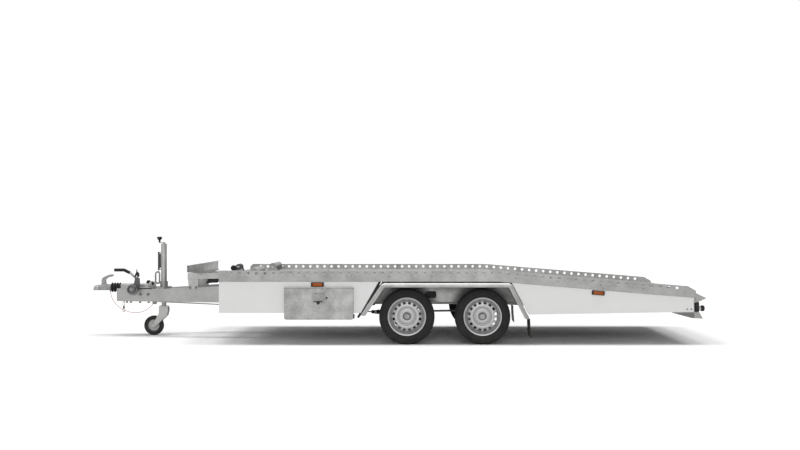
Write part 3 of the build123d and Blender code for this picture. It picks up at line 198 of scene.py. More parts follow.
def make_fine_grain():
    """Fine unevenness of paint, plastic or rubber: a height and a slow drift of tone."""
    tree, given, result, place = shader_group("fine_grain", {"Scale": 400.0}, ("Height", "Drift"))
    feed(tree, result, {"Height": noise(tree, place, given["Scale"], 3.0)["Fac"],
                        "Drift": noise(tree, place, 4.0, 5.0)["Fac"]})
    return tree


def make_guard_shading():
    """Mudguard's painted light: painted shade round both tyres on the inner wall, a painted highlight on the
    upward faces of the rolled edge.
    """
    tree, given, result, place = shader_group("guard_shading", {"Color": grey(0.3), "Amount": 0.85}, ("Color",))
    flat = add(tree, "ShaderNodeVectorMath", {0: place, 1: (1, 0, 1)}, operation="MULTIPLY").outputs["Vector"]
    # Painted shade: the inner wall darkens near each tyre, standing for the tyres' shadow on it.
    halos = []
    for station in AXLE_STATIONS:
        reach = add(tree, "ShaderNodeVectorMath", {0: flat, 1: (station, 0, WHEEL_HEIGHT)},
                    operation="DISTANCE").outputs["Value"]
        halos.append(ranged(tree, reach, SHADE_REACH, SHADE_CORE, interpolation_type="SMOOTHSTEP"))
    inward = maths(tree, "ABSOLUTE", add(tree, "ShaderNodeSeparateXYZ", {"Vector": place}).outputs["Y"])
    share = maths(tree, "MULTIPLY", maths(tree, "MAXIMUM", *halos), ranged(tree, inward, *GUARD_WALL))
    mask = maths(tree, "MULTIPLY", share, given["Amount"])
    # Painted highlight: upward faces of the outer rolled edge turn lighter, as if lit from above.
    normal = add(tree, "ShaderNodeTexCoord").outputs["Normal"]
    facing = add(tree, "ShaderNodeSeparateXYZ", {"Vector": normal}).outputs["Z"]
    highlight_share = maths(tree, "MULTIPLY", ranged(tree, facing, 0.12, 0.75), ranged(tree, inward, *GUARD_HIGHLIGHT))
    bright = mixed(tree, highlight_share, given["Color"], grey(0.62))
    feed(tree, result, {"Color": mixed(tree, mask, bright, (0.012, 0.012, 0.011, 1))})
    return tree


ZINC_BLOOM = make_zinc_bloom()
GUARD_SHADING = make_guard_shading()
ROAD_DUST = make_road_dust()
FINE_GRAIN = make_fine_grain()


def finish_shell(name):
    """New material. Returns it with its tree and its surface shader."""
    material = bpy.data.materials.new(name)
    material.use_nodes = True
    tree = material.node_tree
    return material, tree, tree.nodes["Principled BSDF"]


def placed(tree, group, **values):
    """Outputs of a shader group placed in a material with its own values."""
    return add(tree, "ShaderNodeGroup", values, node_tree=group).outputs


def bumped(tree, height, strength, distance):
    """Normal of a surface with fine relief."""
    return add(tree, "ShaderNodeBump", {"Height": height, "Strength": strength,
                                        "Distance": distance}).outputs["Normal"]


def zinc(name, dark, light, rough=(0.34, 0.52), tyre_shaded=False):
    """Hot-dip galvanised steel; if asked, with painted shade round the tyres and a painted highlight on the
    mudguard's rolled edge.
    """
    material, tree, surface = finish_shell(name)
    bloom = placed(tree, ZINC_BLOOM)
    soiled = placed(tree, ROAD_DUST, Amount=ZINC_DUST, Color=mixed(tree, bloom["Shade"], dark, light))
    # Painted shade round the tyres and a painted highlight on the rolled edge.
    if tyre_shaded:
        soiled = placed(tree, GUARD_SHADING, Color=soiled["Color"])
    feed(tree, surface, {"Base Color": soiled["Color"], "Metallic": ZINC_METALLIC,
                         "Roughness": ranged(tree, bloom["Shade"], low=rough[1], high=rough[0]),
                         "Normal": bumped(tree, bloom["Height"], 0.06, 0.0006)})
    return material


def coated(name, color, rough, grain, relief, metallic=0.0, dust=0.2, spread=0.1, specular=0.5):
    """Painted, moulded or rubber surface with grain, a drift of tone and road dust."""
    material, tree, surface = finish_shell(name)
    texture = placed(tree, FINE_GRAIN, Scale=grain)
    darker = tuple(c * (1 - spread) for c in color) + (1,)
    lighter = tuple(min(1.0, c * (1 + spread)) for c in color) + (1,)
    soiled = placed(tree, ROAD_DUST, Amount=dust, Color=mixed(tree, texture["Drift"], darker, lighter))
    gloss = ranged(tree, texture["Drift"], low=rough * 0.85, high=min(1.0, rough * 1.15))
    feed(tree, surface, {"Base Color": soiled["Color"], "Roughness": gloss, "Metallic": metallic,
                         "Specular IOR Level": specular,
                         "Normal": bumped(tree, texture["Height"], relief, 0.0005)})
    return material


def lens(name, color):
    """Moulded lamp lens with fine prisms behind a glossy face."""
    material, tree, surface = finish_shell(name)
    place = add(tree, "ShaderNodeTexCoord").outputs["Object"]
    prisms = add(tree, "ShaderNodeTexWave", {"Vector": place, "Scale": 1.0 / (LENS_PITCH * math.pi * 2)},
                 bands_direction="DIAGONAL").outputs["Fac"]
    deep = tuple(c * 0.62 for c in color[:3]) + (1,)
    feed(tree, surface, {"Base Color": mixed(tree, prisms, deep, color), "Roughness": 0.3,
                         "Specular IOR Level": 0.15, "Coat Weight": 0.05,
                         "Normal": bumped(tree, prisms, 0.3, 0.001)})
    return material


ZINC_TONES = (0.22, 0.221, 0.218, 1), (0.325, 0.325, 0.319, 1)
FINISHES = {
    "galvanised": zinc("galvanised_steel", *ZINC_TONES),
    "white_panel": coated("white_panel", (0.71, 0.71, 0.705), 0.34, 260.0, 0.03, dust=0.12, spread=0.03),
    "black_plastic": coated("black_plastic", (0.014, 0.014, 0.015), 0.6, 700.0, 0.2, specular=0.2),
    "black_rubber": coated("black_rubber", (0.012, 0.012, 0.0125), 0.7, 500.0, 0.25, specular=0.3),
    "cast_steel": zinc("zinc_plated_casting", grey(0.18), grey(0.33), (0.42, 0.6)),
    "wheel_silver": coated("wheel_silver", (0.36, 0.362, 0.365), 0.36, 900.0, 0.05, metallic=0.5, dust=0.3),
    "tyre_rubber": coated("tyre_rubber", (0.013, 0.013, 0.0135), 0.78, 350.0, 0.3, dust=0.12, specular=0.22),
    "red_lens": lens("red_lens", (0.42, 0.012, 0.012, 1)),
    "amber_lens": lens("amber_lens", (0.37, 0.082, 0.006, 1)),
    "webbing": coated("strap_webbing", (0.03, 0.03, 0.033), 0.85, 900.0, 0.4),
    "red_cable": coated("red_cable", (0.34, 0.075, 0.055), 0.5, 600.0, 0.1),
}
BOX_SHEET = zinc("cloudy_zinc_sheet", (0.19, 0.191, 0.186, 1), (0.39, 0.39, 0.38, 1))
# Lighter copy of the galvanised zinc: painted light for faces the lamps light less, and a painted highlight
# on the rain lip.
LIT_ZINC = zinc("lit_zinc_copy", (0.29, 0.291, 0.286, 1), (0.41, 0.41, 0.402, 1))
# Mudguards: zinc with painted shade round the tyres and a painted highlight on the rolled edge.
GUARD_SHEET = zinc("guard_zinc_painted_shade", *ZINC_TONES, tyre_shaded=True)
# Darker zinc copy: painted shade on the light bar's gussets.
SHADE_ZINC = zinc("painted_shade_zinc", grey(0.1), grey(0.17), (0.5, 0.65))
DARK_STEEL = coated("dark_steel", (0.062, 0.062, 0.063), 0.42, 600.0, 0.1, metallic=0.4)
CLEAR_LENS = lens("clear_lens", (0.75, 0.76, 0.76, 1))
DARK_BOLT = zinc("dark_zinc_bolt", grey(0.12), grey(0.22), (0.35, 0.5))

SLOTS = {row["node"]: row["material_slot"] for row in frame["record"]["subparts"]}
# Parts that take the lighter zinc copy, as painted light.
LIT_NODES = ("drawbar_beams", "front_frame", "front_board", "overrun_housing", "nose_tube", "nose_leg",
                "nose_fork")


def node_finish(node):
    """Finish of a solid: its slot's, or its own zinc: cloudy sheet for the toolbox, painted shade and
    highlight for the mudguards, and a lighter copy with painted light for some parts.
    """
    if node.startswith("toolbox"):
        return BOX_SHEET
    if node.startswith("mudguard"):
        return GUARD_SHEET
    return LIT_ZINC if node in LIT_NODES else FINISHES[SLOTS[node]]


for node in SLOTS:
    skin = nodes[node].data.materials
    skin.clear()
    skin.append(node_finish(node))


# Mesh helpers
def shapes(count):
    """Empty shapes."""
    return [bmesh.new() for _ in range(count)]


def new_object(name, data):
    """Object in the scene."""
    made = bpy.data.objects.new(name, data)
    bpy.context.scene.collection.objects.link(made)
    return made


def applied(carrier, name):
    """Plain mesh of what an object shows. The object goes."""
    mesh = bpy.data.meshes.new_from_object(carrier.evaluated_get(bpy.context.evaluated_depsgraph_get()))
    bpy.data.objects.remove(carrier)
    mesh.name = name
    return mesh


def plain_mesh(shape, name):
    """Mesh from a shape as it is."""
    mesh = bpy.data.meshes.new(name)
    shape.to_mesh(mesh)
    shape.free()
    return mesh


def piece(name, shape, slot, material=None, body="chassis", replaced=(), sharp=32.0):
    """Object from a shape or a finished mesh that rides on a body and takes the finish of a slot."""
    mesh = shape
    if isinstance(shape, bmesh.types.BMesh):
        bmesh.ops.remove_doubles(shape, verts=shape.verts, dist=1e-6)
        bmesh.ops.recalc_face_normals(shape, faces=shape.faces)
        mesh = plain_mesh(shape, name)
    made = new_object(name, mesh)
    if material or not mesh.materials:
        mesh.materials.clear()
        mesh.materials.append(material or FINISHES[slot])
    mesh.polygons.foreach_set("use_smooth", [True] * len(mesh.polygons))
    mesh.set_sharp_from_angle(angle=math.radians(sharp))
    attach(made, body)
    if replaced:
        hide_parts(*replaced)


def turns(count, shift=0.0):
    """Angles of a whole turn in so many steps."""
    return [2 * math.pi * (k + shift) / count for k in range(count)]


def arc(centre, wide, tall, half_turns, count):
    """Points of (x, z) on an arc, in so many steps."""
    angles = [math.pi * half_turns * k / count for k in range(count + 1)]
    return [(centre[0] + wide * math.cos(t), centre[1] + tall * math.sin(t)) for t in angles]


def bridge(shape, here, after):
    """Faces between two closed rings of points."""
    for k in range(len(here)):
        j = (k + 1) % len(here)
        shape.faces.new((here[k], here[j], after[j], after[k]))


def bevelled(shape, edges, width, segments=2, **settings):
    """Round off some edges of a shape."""
    return bmesh.ops.bevel(shape, geom=edges, offset=width, segments=segments, affect="EDGES", profile=0.5,
                           **settings)


def rounded_box(shape, corner, opposite, radius, segments=2, turn=None):
    """Box between two corners with rounded edges, turned about its middle if asked."""
    low = Vector([min(pair) for pair in zip(corner, opposite)])
    high = Vector([max(pair) for pair in zip(corner, opposite)])
    made = bmesh.ops.create_cube(shape, size=1.0)["verts"]
    for v in made:
        v.co = v.co * (high - low)
    rounded = bevelled(shape, list({e for v in made for e in v.link_edges}), radius, segments)
    for v in {v for f in rounded["faces"] for v in f.verts} | {v for v in made if v.is_valid}:
        v.co = (turn @ v.co if turn else v.co) + (low + high) / 2


def turned_rod(shape, start, along, profile, segments=32):
    """Solid of revolution from a start point along a direction: profile of (distance, radius)."""
    start, along = Vector(start), Vector(along).normalized()
    across = along.orthogonal().normalized()
    up = along.cross(across)
    rings = [[shape.verts.new(start + along * distance + (across * math.cos(t) + up * math.sin(t)) * radius)
              for t in turns(segments)] for distance, radius in profile]
    for here, after in zip(rings, rings[1:]):
        bridge(shape, here, after)
    shape.faces.new(rings[0])
    shape.faces.new(rings[-1])


def wheel_rings(shape, profile, centre, side, angles):
    """Rings of points about an axis along Y: profile of (radius, y) points, y outwards."""
    return [[shape.verts.new((centre.x + r * math.cos(t), centre.y + side * y, centre.z + r * math.sin(t)))
             for t in angles] for r, y in profile]


def lathe(shape, profile, centre, side, segments):
    """Solid ring about an axis along Y, from a closed profile."""
    rings = wheel_rings(shape, profile, centre, side, turns(segments))
    for here, after in zip(rings, rings[1:] + rings[:1]):
        bridge(shape, here, after)


def plate(shape, outline, near, far, edge=0.0):
    """Flat plate from an outline of (x, z) points, between two depths, its rims rounded if asked."""
    front, back = [[shape.verts.new((x, y, z)) for x, z in outline] for y in (near, far)]
    faces = [shape.faces.new(front), shape.faces.new(back[::-1])]
    bridge(shape, back, front)
    if edge:
        bevelled(shape, list({e for f in faces for e in f.edges}), edge)


def tube(name, points, radius, roundness, steps, closed=False):
    """Object of a round tube along a smooth curve."""
    line = bpy.data.curves.new(name, "CURVE")
    line.dimensions = "3D"
    line.bevel_depth = radius
    line.bevel_resolution = roundness
    line.resolution_u = steps
    line.use_fill_caps = not closed
    run = line.splines.new("NURBS")
    run.points.add(len(points) - 1)
    for point, place in zip(run.points, points):
        point.co = (*place, 1)
    run.order_u = 3
    run.use_endpoint_u = not closed
    run.use_cyclic_u = closed
    return new_object(name, line)


def wire(shape, points, radius, closed=False):
    """Bent wire along a smooth curve, added to a shape."""
    made = applied(tube("wire", points, radius, 2, 5, closed), "wire")
    shape.from_mesh(made)
    bpy.data.meshes.remove(made)


# Trees of repeated pieces. Their points carry two directions: facing, and along in the surface.
DIRECTIONS = ("facing", "along")
BOLT_INPUTS = ("Head radius", "Head height", "Washer radius")
BLOCK_INPUTS = ("Length", "Width", "Height")


def repeat_tree(name, sizes, make_instance):
    """Geometry tree that sets one shape on every point, turned to its directions."""
    tree = bpy.data.node_groups.new(name, "GeometryNodeTree")
    socket(tree, "Geometry", "INPUT", "Geometry")
    for label in sizes:
        socket(tree, label, "INPUT", "Float")
    socket(tree, "Material", "INPUT", "Material")
    socket(tree, "Geometry", "OUTPUT", "Geometry")
    given, result = tree.nodes.new("NodeGroupInput").outputs, tree.nodes.new("NodeGroupOutput")
    facing, along = [add(tree, "GeometryNodeInputNamedAttribute", {"Name": label},
                         data_type="FLOAT_VECTOR").outputs["Attribute"] for label in DIRECTIONS]
    turn = add(tree, "FunctionNodeAxesToRotation", {"Primary Axis": facing, "Secondary Axis": along},
               primary_axis="Z", secondary_axis="X").outputs["Rotation"]
    copies = add(tree, "GeometryNodeInstanceOnPoints", {
        "Points": given["Geometry"], "Instance": make_instance(tree, given), "Rotation": turn})
    real = add(tree, "GeometryNodeRealizeInstances", {"Geometry": copies.outputs["Instances"]})
    painted = add(tree, "GeometryNodeSetMaterial", {"Geometry": real.outputs["Geometry"],
                                                    "Material": given["Material"]})
    feed(tree, result, {"Geometry": painted.outputs["Geometry"]})
    return tree


def bolt_instance(tree, given):
    """Six-sided head on a round washer, standing on the point."""
    washer, head = [
        add(tree, "GeometryNodeMeshCylinder", {"Vertices": count, "Radius": radius, "Depth": depth})
        for count, radius, depth in ((16, given["Washer radius"], WASHER_HEIGHT),
                                     (6, given["Head radius"], given["Head height"]))]
    lift = add(tree, "ShaderNodeCombineXYZ", {"Z": maths(tree, "MULTIPLY", given["Head height"], 0.5)})
    raised = add(tree, "GeometryNodeTransform", {"Geometry": head.outputs["Mesh"],
                                                 "Translation": lift.outputs["Vector"]})
    joined = add(tree, "GeometryNodeJoinGeometry", {"Geometry": washer.outputs["Mesh"]})
    feed(tree, joined, {"Geometry": raised.outputs["Geometry"]})
    return joined.outputs["Geometry"]


def block_instance(tree, given):
    """Tread block: length along, width across, height outwards."""
    size = add(tree, "ShaderNodeCombineXYZ", dict(zip("XYZ", [given[label] for label in BLOCK_INPUTS])))
    return add(tree, "GeometryNodeMeshCube", {"Size": size.outputs["Vector"]}).outputs["Mesh"]


BOLT_TREE = repeat_tree("bolt_heads", BOLT_INPUTS, bolt_instance)
BLOCK_TREE = repeat_tree("tread_blocks", BLOCK_INPUTS, block_instance)


def repeated(name, tree, rows, values):
    """Plain mesh of one shape at every row, with values for its tree. Columns: place, facing, along."""
    points = bpy.data.meshes.new(name + "_points")
    points.from_pydata([tuple(row[0]) for row in rows], [], [])
    for column, label in enumerate(DIRECTIONS, 1):
        layer = points.attributes.new(label, "FLOAT_VECTOR", "POINT")
        for i, row in enumerate(rows):
            layer.data[i].vector = row[column]
    carrier = new_object(name + "_points", points)
    modifier = carrier.modifiers.new("repeat", "NODES")
    modifier.node_group = tree
    for item in tree.interface.items_tree:
        if item.in_out == "INPUT" and item.name in values:
            modifier[item.identifier] = values[item.name]
    return applied(carrier, name)


# Sizes of bolts. Columns: head radius, head height, washer radius
RAIL_BOLT = (0.008, 0.006, 0.011)
DRAWBAR_BOLT = (0.011, 0.018, 0.014)
LUG_BOLT = (0.012, 0.014, 0.016)
LEG_BOLT = (0.01, 0.007, 0.014)
RIVET = (0.006, 0.004, 0.008)


def bolts(name, rows, size, slot, material):
    """Piece of bolt heads at every row. Columns: place, facing, along."""
    values = dict(zip(BOLT_INPUTS, size), Material=material)
    piece(name, repeated(name, BOLT_TREE, rows, values), slot)


# Road wheels
def road_tyre(wheel, side):
    """Tyre in the place of its solid: grooved tread of blocks, ribbed walls."""
    node = f"tyre_{wheel}"
    low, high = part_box(node)
    centre = (low + high) / 2
    radius = (high.z - low.z) / 2
    half = (high.y - low.y) / 2
    bead, base = BEAD_RADIUS, radius - TREAD_DEPTH
    wall = [(base, 0.068), (base - 0.002, 0.079), (radius - 0.012, 0.088), (radius - 0.022, 0.0925),
            (radius - 0.026, 0.0922), (radius - 0.029, 0.0945), (radius - 0.045, half),
            (radius - 0.056, half - 0.0004), (radius - 0.058, half - 0.0018), (radius - 0.061, half - 0.0018),
            (radius - 0.063, half - 0.001), (bead + 0.024, half - 0.004), (bead + 0.0215, half - 0.006),
            (bead + 0.019, 0.0865), (bead + 0.0185, 0.0745), (bead, 0.0735)]
    shape = bmesh.new()
    lathe(shape, wall + [(r, -y) for r, y in reversed(wall)], centre, side, TYRE_SEGMENTS)

    pitch = TREAD_WIDTH / TREAD_ROWS
    spacing = 2 * math.pi * radius / TREAD_BLOCKS
    rows = []
    for lane in range(TREAD_ROWS):
        across = Vector((0, (lane + 0.5) * pitch - TREAD_WIDTH / 2, 0))
        for turn in turns(TREAD_BLOCKS, 0.5 * (lane % 2)):
            out = Vector((math.cos(turn), 0, math.sin(turn)))
            along = Vector((-math.sin(turn), 0, math.cos(turn)))
            rows.append((centre + out * (base + TREAD_DEPTH / 2 - BLOCK_SINK) + across, out, along))
    blocks = repeated(f"tread_{wheel}", BLOCK_TREE, rows, {
        "Material": FINISHES["tyre_rubber"], "Length": spacing - BLOCK_GAP, "Width": pitch - BLOCK_GAP,
        "Height": TREAD_DEPTH})
    body = f"wheel_{wheel}"
    piece(f"road_tyre_{wheel}", shape, "tyre_rubber", body=body, replaced=(node,))
    piece(f"tread_{wheel}", blocks, "tyre_rubber", body=body)


# Pressed steel wheels. Profiles: radius and reach outwards from the wheel's middle plane
BARREL_PROFILE = [
    (0.1821, 0.076), (0.1821, 0.0785), (0.18, 0.08), (0.1735, 0.0798), (0.168, 0.078), (0.165, 0.074),
    (0.1628, 0.068), (0.16, 0.062), (0.1565, 0.057), (0.152, 0.0515), (0.1475, 0.0465), (0.1445, 0.042),
    (0.143, 0.034), (0.143, -0.034), (0.153, -0.048), (0.1592, -0.056), (0.1592, -0.079),
    (0.161, -0.08), (0.1821, -0.08), (0.1821, -0.074), (0.1655, -0.0735), (0.1651, -0.05),
    (0.1491, -0.036), (0.1491, 0.036), (0.1651, 0.05), (0.1655, 0.07), (0.17, 0.0735), (0.179, 0.0745)]
DISC_PROFILE = [
    (0.1434, 0.034), (0.1425, 0.0362), (0.1408, 0.0378), (0.1388, 0.0388), (0.1277, 0.042), (0.1166, 0.0443),
    (0.1152, 0.0448), (0.113, 0.0452), (0.1095, 0.0455), (0.0925, 0.0455), (0.088, 0.0447), (0.0848, 0.0415),
    (0.083, 0.0375), (0.0805, 0.0365), (0.075, 0.0365), (0.0728, 0.0375), (0.071, 0.04), (0.069, 0.0412),
    (0.042, 0.0412), (0.0375, 0.0405), (0.0352, 0.0385), (0.0345, 0.0345)]
VENT_COUNT = 16
VENT_STEPS = 6
VENT_OPEN_STEPS = (1, 2, 3)
VENT_OPEN_BANDS = (3, 4)
DISC_SHEET = 0.004


def road_rim(wheel, side):
    """Wheel in the place of its solid: turned barrel, and a pressed disc with a ring of vents."""
    node = f"rim_{wheel}"
    low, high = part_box(node)
    centre = (low + high) / 2
    barrel, shape = shapes(2)
    lathe(barrel, BARREL_PROFILE, centre, side, TYRE_SEGMENTS)
    steps = VENT_COUNT * VENT_STEPS
    rings = wheel_rings(shape, DISC_PROFILE, centre, side, turns(steps, 0.5))
    for band, (outer, inner) in enumerate(zip(rings, rings[1:])):
        for k in range(steps):
            if band in VENT_OPEN_BANDS and k % VENT_STEPS in VENT_OPEN_STEPS:
                continue
            j = (k + 1) % steps
            corners = (outer[k], inner[k], inner[j], outer[j])
            shape.faces.new(corners if side > 0 else corners[::-1])
    disc = f"wheel_disc_{wheel}"
    carrier = new_object(disc, plain_mesh(shape, disc))
    wall = carrier.modifiers.new("sheet", "SOLIDIFY")
    wall.thickness = DISC_SHEET
    wall.offset = -1.0
    smooth = carrier.modifiers.new("pressing", "SUBSURF")
    smooth.levels = smooth.render_levels = 1
    body = f"wheel_{wheel}"
    piece(f"wheel_barrel_{wheel}", barrel, "wheel_silver", body=body, replaced=(node,))
    piece(disc, applied(carrier, disc), "wheel_silver", body=body, sharp=50.0)


for axle in AXLES:
    for hand, side in SIDES:
        road_tyre(f"{axle}_{hand}", side)
        road_rim(f"{axle}_{hand}", side)


# Breakaway cable: the route's points, in metres
CABLE_ROUTE = [(-2.853, 0, 0.4467), (-2.843, -0.001, 0.398), (-2.822, -0.003, 0.35), (-2.785, -0.006, 0.306),
               (-2.735, -0.008, 0.268), (-2.676, -0.009, 0.241), (-2.612, -0.009, 0.228),
               (-2.55, -0.006, 0.231), (-2.496, 0.004, 0.248), (-2.456, 0.022, 0.276), (-2.428, 0.057, 0.308)]
CABLE_DIAMETER = 0.005


def breakaway_cable():
    """Thin coated cable that hangs from the coupling's eye to the relay lever."""
    made = tube("breakaway_line", CABLE_ROUTE, CABLE_DIAMETER / 2, 4, 8)
    made.data.materials.append(FINISHES["red_cable"])
    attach(made, "chassis")
    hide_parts("breakaway_cable")


breakaway_cable()


# Rail bolts at floor level
def rail_bolts(hand, side):
    """Bolts along the rail that hold the runway's edge."""
    low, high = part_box(f"side_rail_{hand}")
    face = low.y if side < 0 else high.y
    drop = 0.058
    rows = []
    for k in range(RAIL_BOLT_COUNT):
        x = RAIL_BOLT_FIRST + k * RAIL_BOLT_PITCH
        z = high.z - drop - max(0.0, x - DECK_BEND) * math.tan(math.radians(DECK_FALL))
        rows.append(((x, face, z), (0, side, 0), (1, 0, 0)))
    bolts(f"rail_bolts_{hand}", rows, RAIL_BOLT, "galvanised", FINISHES["cast_steel"])


for hand, side in SIDES:
    rail_bolts(hand, side)


# Lamps
# Side marker's housing and lens. Columns: length, height, depths of the back and of the front under the face
MARKER_BOXES = ((0.12, 0.042, 0.024, 0.01), (0.092, 0.031, 0.014, 0.0))
LAMP_ROUND = 0.004
CLUSTER_ROUND = 0.005
CLUSTER_WIDTH = 0.23
# End markers: how far behind their solids, and profiles of distance and radius
END_MARKER_SHIFT = 0.009
END_MARKER_NECK = [(0, 0.018), (0.003, 0.02), (0.017, 0.02), (0.02, 0.023)]
END_MARKER_HEAD = [(0, 0.02), (0.003, 0.026), (0.008, 0.028), (0.026, 0.028), (0.031, 0.026)]
END_MARKER_CAP = [(0, 0.0235), (0.005, 0.0225), (0.0075, 0.017), (0.0083, 0.006)]
# Side markers. Columns: station, height, lean in degrees
SIDE_MARKERS = ((-0.632, 0.568, 0.0), (2.007, 0.489, DECK_FALL))


def side_markers():
    """Black housings with proud amber lenses on both sides."""
    low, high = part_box("side_markers")
    housings, lenses = shapes(2)
    for x, z, lean in SIDE_MARKERS:
        turn = Matrix.Rotation(math.radians(lean), 3, "Y")
        for side, face in ((-1, low.y), (1, high.y)):
            for shape, (length, height, back, front) in zip((housings, lenses), MARKER_BOXES):
                rounded_box(shape, (x - length / 2, face - side * back, z - height / 2),
                            (x + length / 2, face - side * front, z + height / 2), LAMP_ROUND, 3, turn)
    piece("marker_housings", housings, "black_plastic", replaced=("side_markers",))
    piece("marker_lenses", lenses, "amber_lens")


def tail_lamps():
    """Rear clusters: black tray with an amber, a red and a clear lens."""
    low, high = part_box("tail_lamps")
    tray_depth, lens_depth, rim, gap = 0.016, 0.008, 0.006, 0.002
    trays = bmesh.new()
    # Lens zones from the outside in. Columns: name, slot, own material, share of the width
    zones = (("amber_tail_lenses", "amber_lens", None, 0.3),
             ("red_tail_lenses", "red_lens", None, 0.45),
             ("clear_tail_lenses", "red_lens", CLEAR_LENS, 0.25))
    lenses = shapes(len(zones))
    for side, outer in ((-1, low.y), (1, high.y)):
        inner = outer - side * CLUSTER_WIDTH
        rounded_box(trays, (low.x, outer, low.z), (low.x + tray_depth, inner, high.z), CLUSTER_ROUND, 3)
        start = outer - side * rim
        for (*_, share), shape in zip(zones, lenses):
            end = start - side * (share * (CLUSTER_WIDTH - 2 * rim) - gap)
            rounded_box(shape, (low.x + lens_depth, start, low.z + rim), (high.x, end, high.z - rim),
                        CLUSTER_ROUND, 3)
            start = end - side * gap
    piece("tail_lamp_trays", trays, "black_plastic", replaced=("tail_lamps",))
    for (name, slot, material, _), shape in zip(zones, lenses):
        piece(name, shape, slot, material)


def end_markers():
    """Rubber feet with a pale neck and a round black lamp head that points back."""
    low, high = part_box("end_markers")
    feet, necks, heads, caps = shapes(4)
    foot_depth, foot_half, inset, z = 0.04, 0.022, 0.028, 0.3418
    x = low.x + END_MARKER_SHIFT
    for side in (-1, 1):
        y = side * ((high.y - low.y) / 2 - inset)
        rounded_box(feet, (x, y - foot_half, low.z), (x + foot_depth, y + foot_half, high.z), 0.006, 3)
        # Columns: shape, start behind the foot, profile
        for shape, start, profile in ((necks, -0.002, END_MARKER_NECK), (heads, 0.015, END_MARKER_HEAD),
                                      (caps, 0.0445, END_MARKER_CAP)):
            turned_rod(shape, (x + foot_depth + start, y, z), (1, 0, 0), profile)
    piece("end_marker_feet", feet, "black_plastic", replaced=("end_markers",))
    piece("end_marker_necks", necks, "black_plastic", CLEAR_LENS)
    piece("end_marker_heads", heads, "black_plastic")
    piece("end_marker_caps", caps, "red_lens")


side_markers()
tail_lamps()
end_markers()


# Steel edges, rounded on copies of the solids. Columns: solid, width of the rounding
SOFT_EDGES = (
    ("drawbar_beams", 0.004), ("chassis_beams", 0.002), ("front_frame", 0.0018), ("light_bar", 0.0012),
    ("rear_lip", 0.0015), ("cross_members", 0.0012), ("skirts_left", 0.002),
    ("skirts_right", 0.002), ("axle_tube_front", 0.004), ("axle_tube_rear", 0.004), ("middle_floor", 0.0009),
    ("mud_flaps", 0.0015), ("toolbox_latch", 0.001), ("toolbox_body", 0.0008), ("runway_left", 0.001),
    ("runway_right", 0.001), ("wheel_stops", 0.001), ("side_rail_left", 0.0006), ("side_rail_right", 0.0006),
    ("brake_bracket", 0.0007), ("axle_arms_front", 0.0008), ("axle_arms_rear", 0.0008))
FAR_RAIL_ROUND = 0.05


def round_front_corner(shape, radius):
    """Cut the upper front corner of a shape round, in flats."""
    front = min(v.co.x for v in shape.verts)
    top = max(v.co.z for v in shape.verts if v.co.x < front + radius)
    middle = Vector((front + radius, 0, top - radius))
    for turn in (15, 45, 75):
        out = Vector((-math.cos(math.radians(turn)), 0, math.sin(math.radians(turn))))
        cut = bmesh.ops.bisect_plane(shape, geom=shape.verts[:] + shape.edges[:] + shape.faces[:], dist=1e-6,
                                     plane_co=middle + out * radius, plane_no=out, clear_outer=True)
        rim = [e for e in cut["geom_cut"] if isinstance(e, bmesh.types.BMEdge)]
        bmesh.ops.holes_fill(shape, edges=rim, sides=0)


def softened(node, width):
    """Copy of a solid in its place, with its sharp edges rounded off."""
    shape = bmesh.new()
    shape.from_mesh(nodes[node].data)
    bmesh.ops.remove_doubles(shape, verts=shape.verts, dist=1e-5)
    if node == "side_rail_right":
        round_front_corner(shape, FAR_RAIL_ROUND)
    bmesh.ops.dissolve_limit(shape, angle_limit=math.radians(0.5), verts=shape.verts, edges=shape.edges)
    sharp = [e for e in shape.edges if len(e.link_faces) == 2 and e.calc_face_angle(0) > math.radians(35)]
    bevelled(shape, sharp, width, clamp_overlap=True)
    skin = f"{node}_skin"
    piece(skin, plain_mesh(shape, skin), SLOTS[node], node_finish(node), nodes[node]["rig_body"], (node,),
          sharp=12.0)


for node, width in SOFT_EDGES:
    softened(node, width)


# Drawbar
DRAWBAR_TIP, DRAWBAR_TIP_SIDE, DRAWBAR_SPLAY, DRAWBAR_HALF = -2.757, 0.085, 0.2119, 0.0307
DRAWBAR_TOP, DRAWBAR_FOOT = 0.483, 0.355
CREST_START, CREST_END, CREST_HEIGHT = -2.25, -1.561, 0.038


def drawbar_side(x):
    """Distance of the beam's middle from the centre line."""
    return DRAWBAR_TIP_SIDE + (x - DRAWBAR_TIP) * DRAWBAR_SPLAY


def drawbar_crests():
    """Wedge-shaped stiffener along the top of each beam, rising to the deck."""
    shape = bmesh.new()
    for side in (-1, 1):
        ends = []
        for x, rise in ((CREST_START, 0.001), (CREST_END, CREST_HEIGHT)):
            ends.append([
                shape.verts.new((x, side * (drawbar_side(x) + way * DRAWBAR_HALF), DRAWBAR_TOP + lift))
                for way, lift in ((-1, 0), (1, 0), (1, rise), (-1, rise))])
        for end in ends:
            shape.faces.new(end)
        bridge(shape, *ends)
    # Lighter zinc copy: painted light.
    piece("drawbar_crests", shape, "galvanised", LIT_ZINC)


def drawbar_bolts():
    """Bolts of the overrun housing: through the sides of the beams and from below."""
    norm = math.hypot(1, DRAWBAR_SPLAY)
    rows = []
    for side in (-1, 1):
        for x in (-2.503, -2.422):
            out = Vector((-DRAWBAR_SPLAY / norm, side / norm, 0))
            rows.append(((x, side * (drawbar_side(x) + DRAWBAR_HALF), 0.428), out, (0, 0, 1)))
        for x in (-2.655, -2.614, -2.513, -2.422):
            rows.append(((x, side * drawbar_side(x), DRAWBAR_FOOT), (0, 0, -1), (1, 0, 0)))
    bolts("drawbar_bolts", rows, DRAWBAR_BOLT, "cast_steel", DARK_BOLT)


drawbar_crests()
drawbar_bolts()


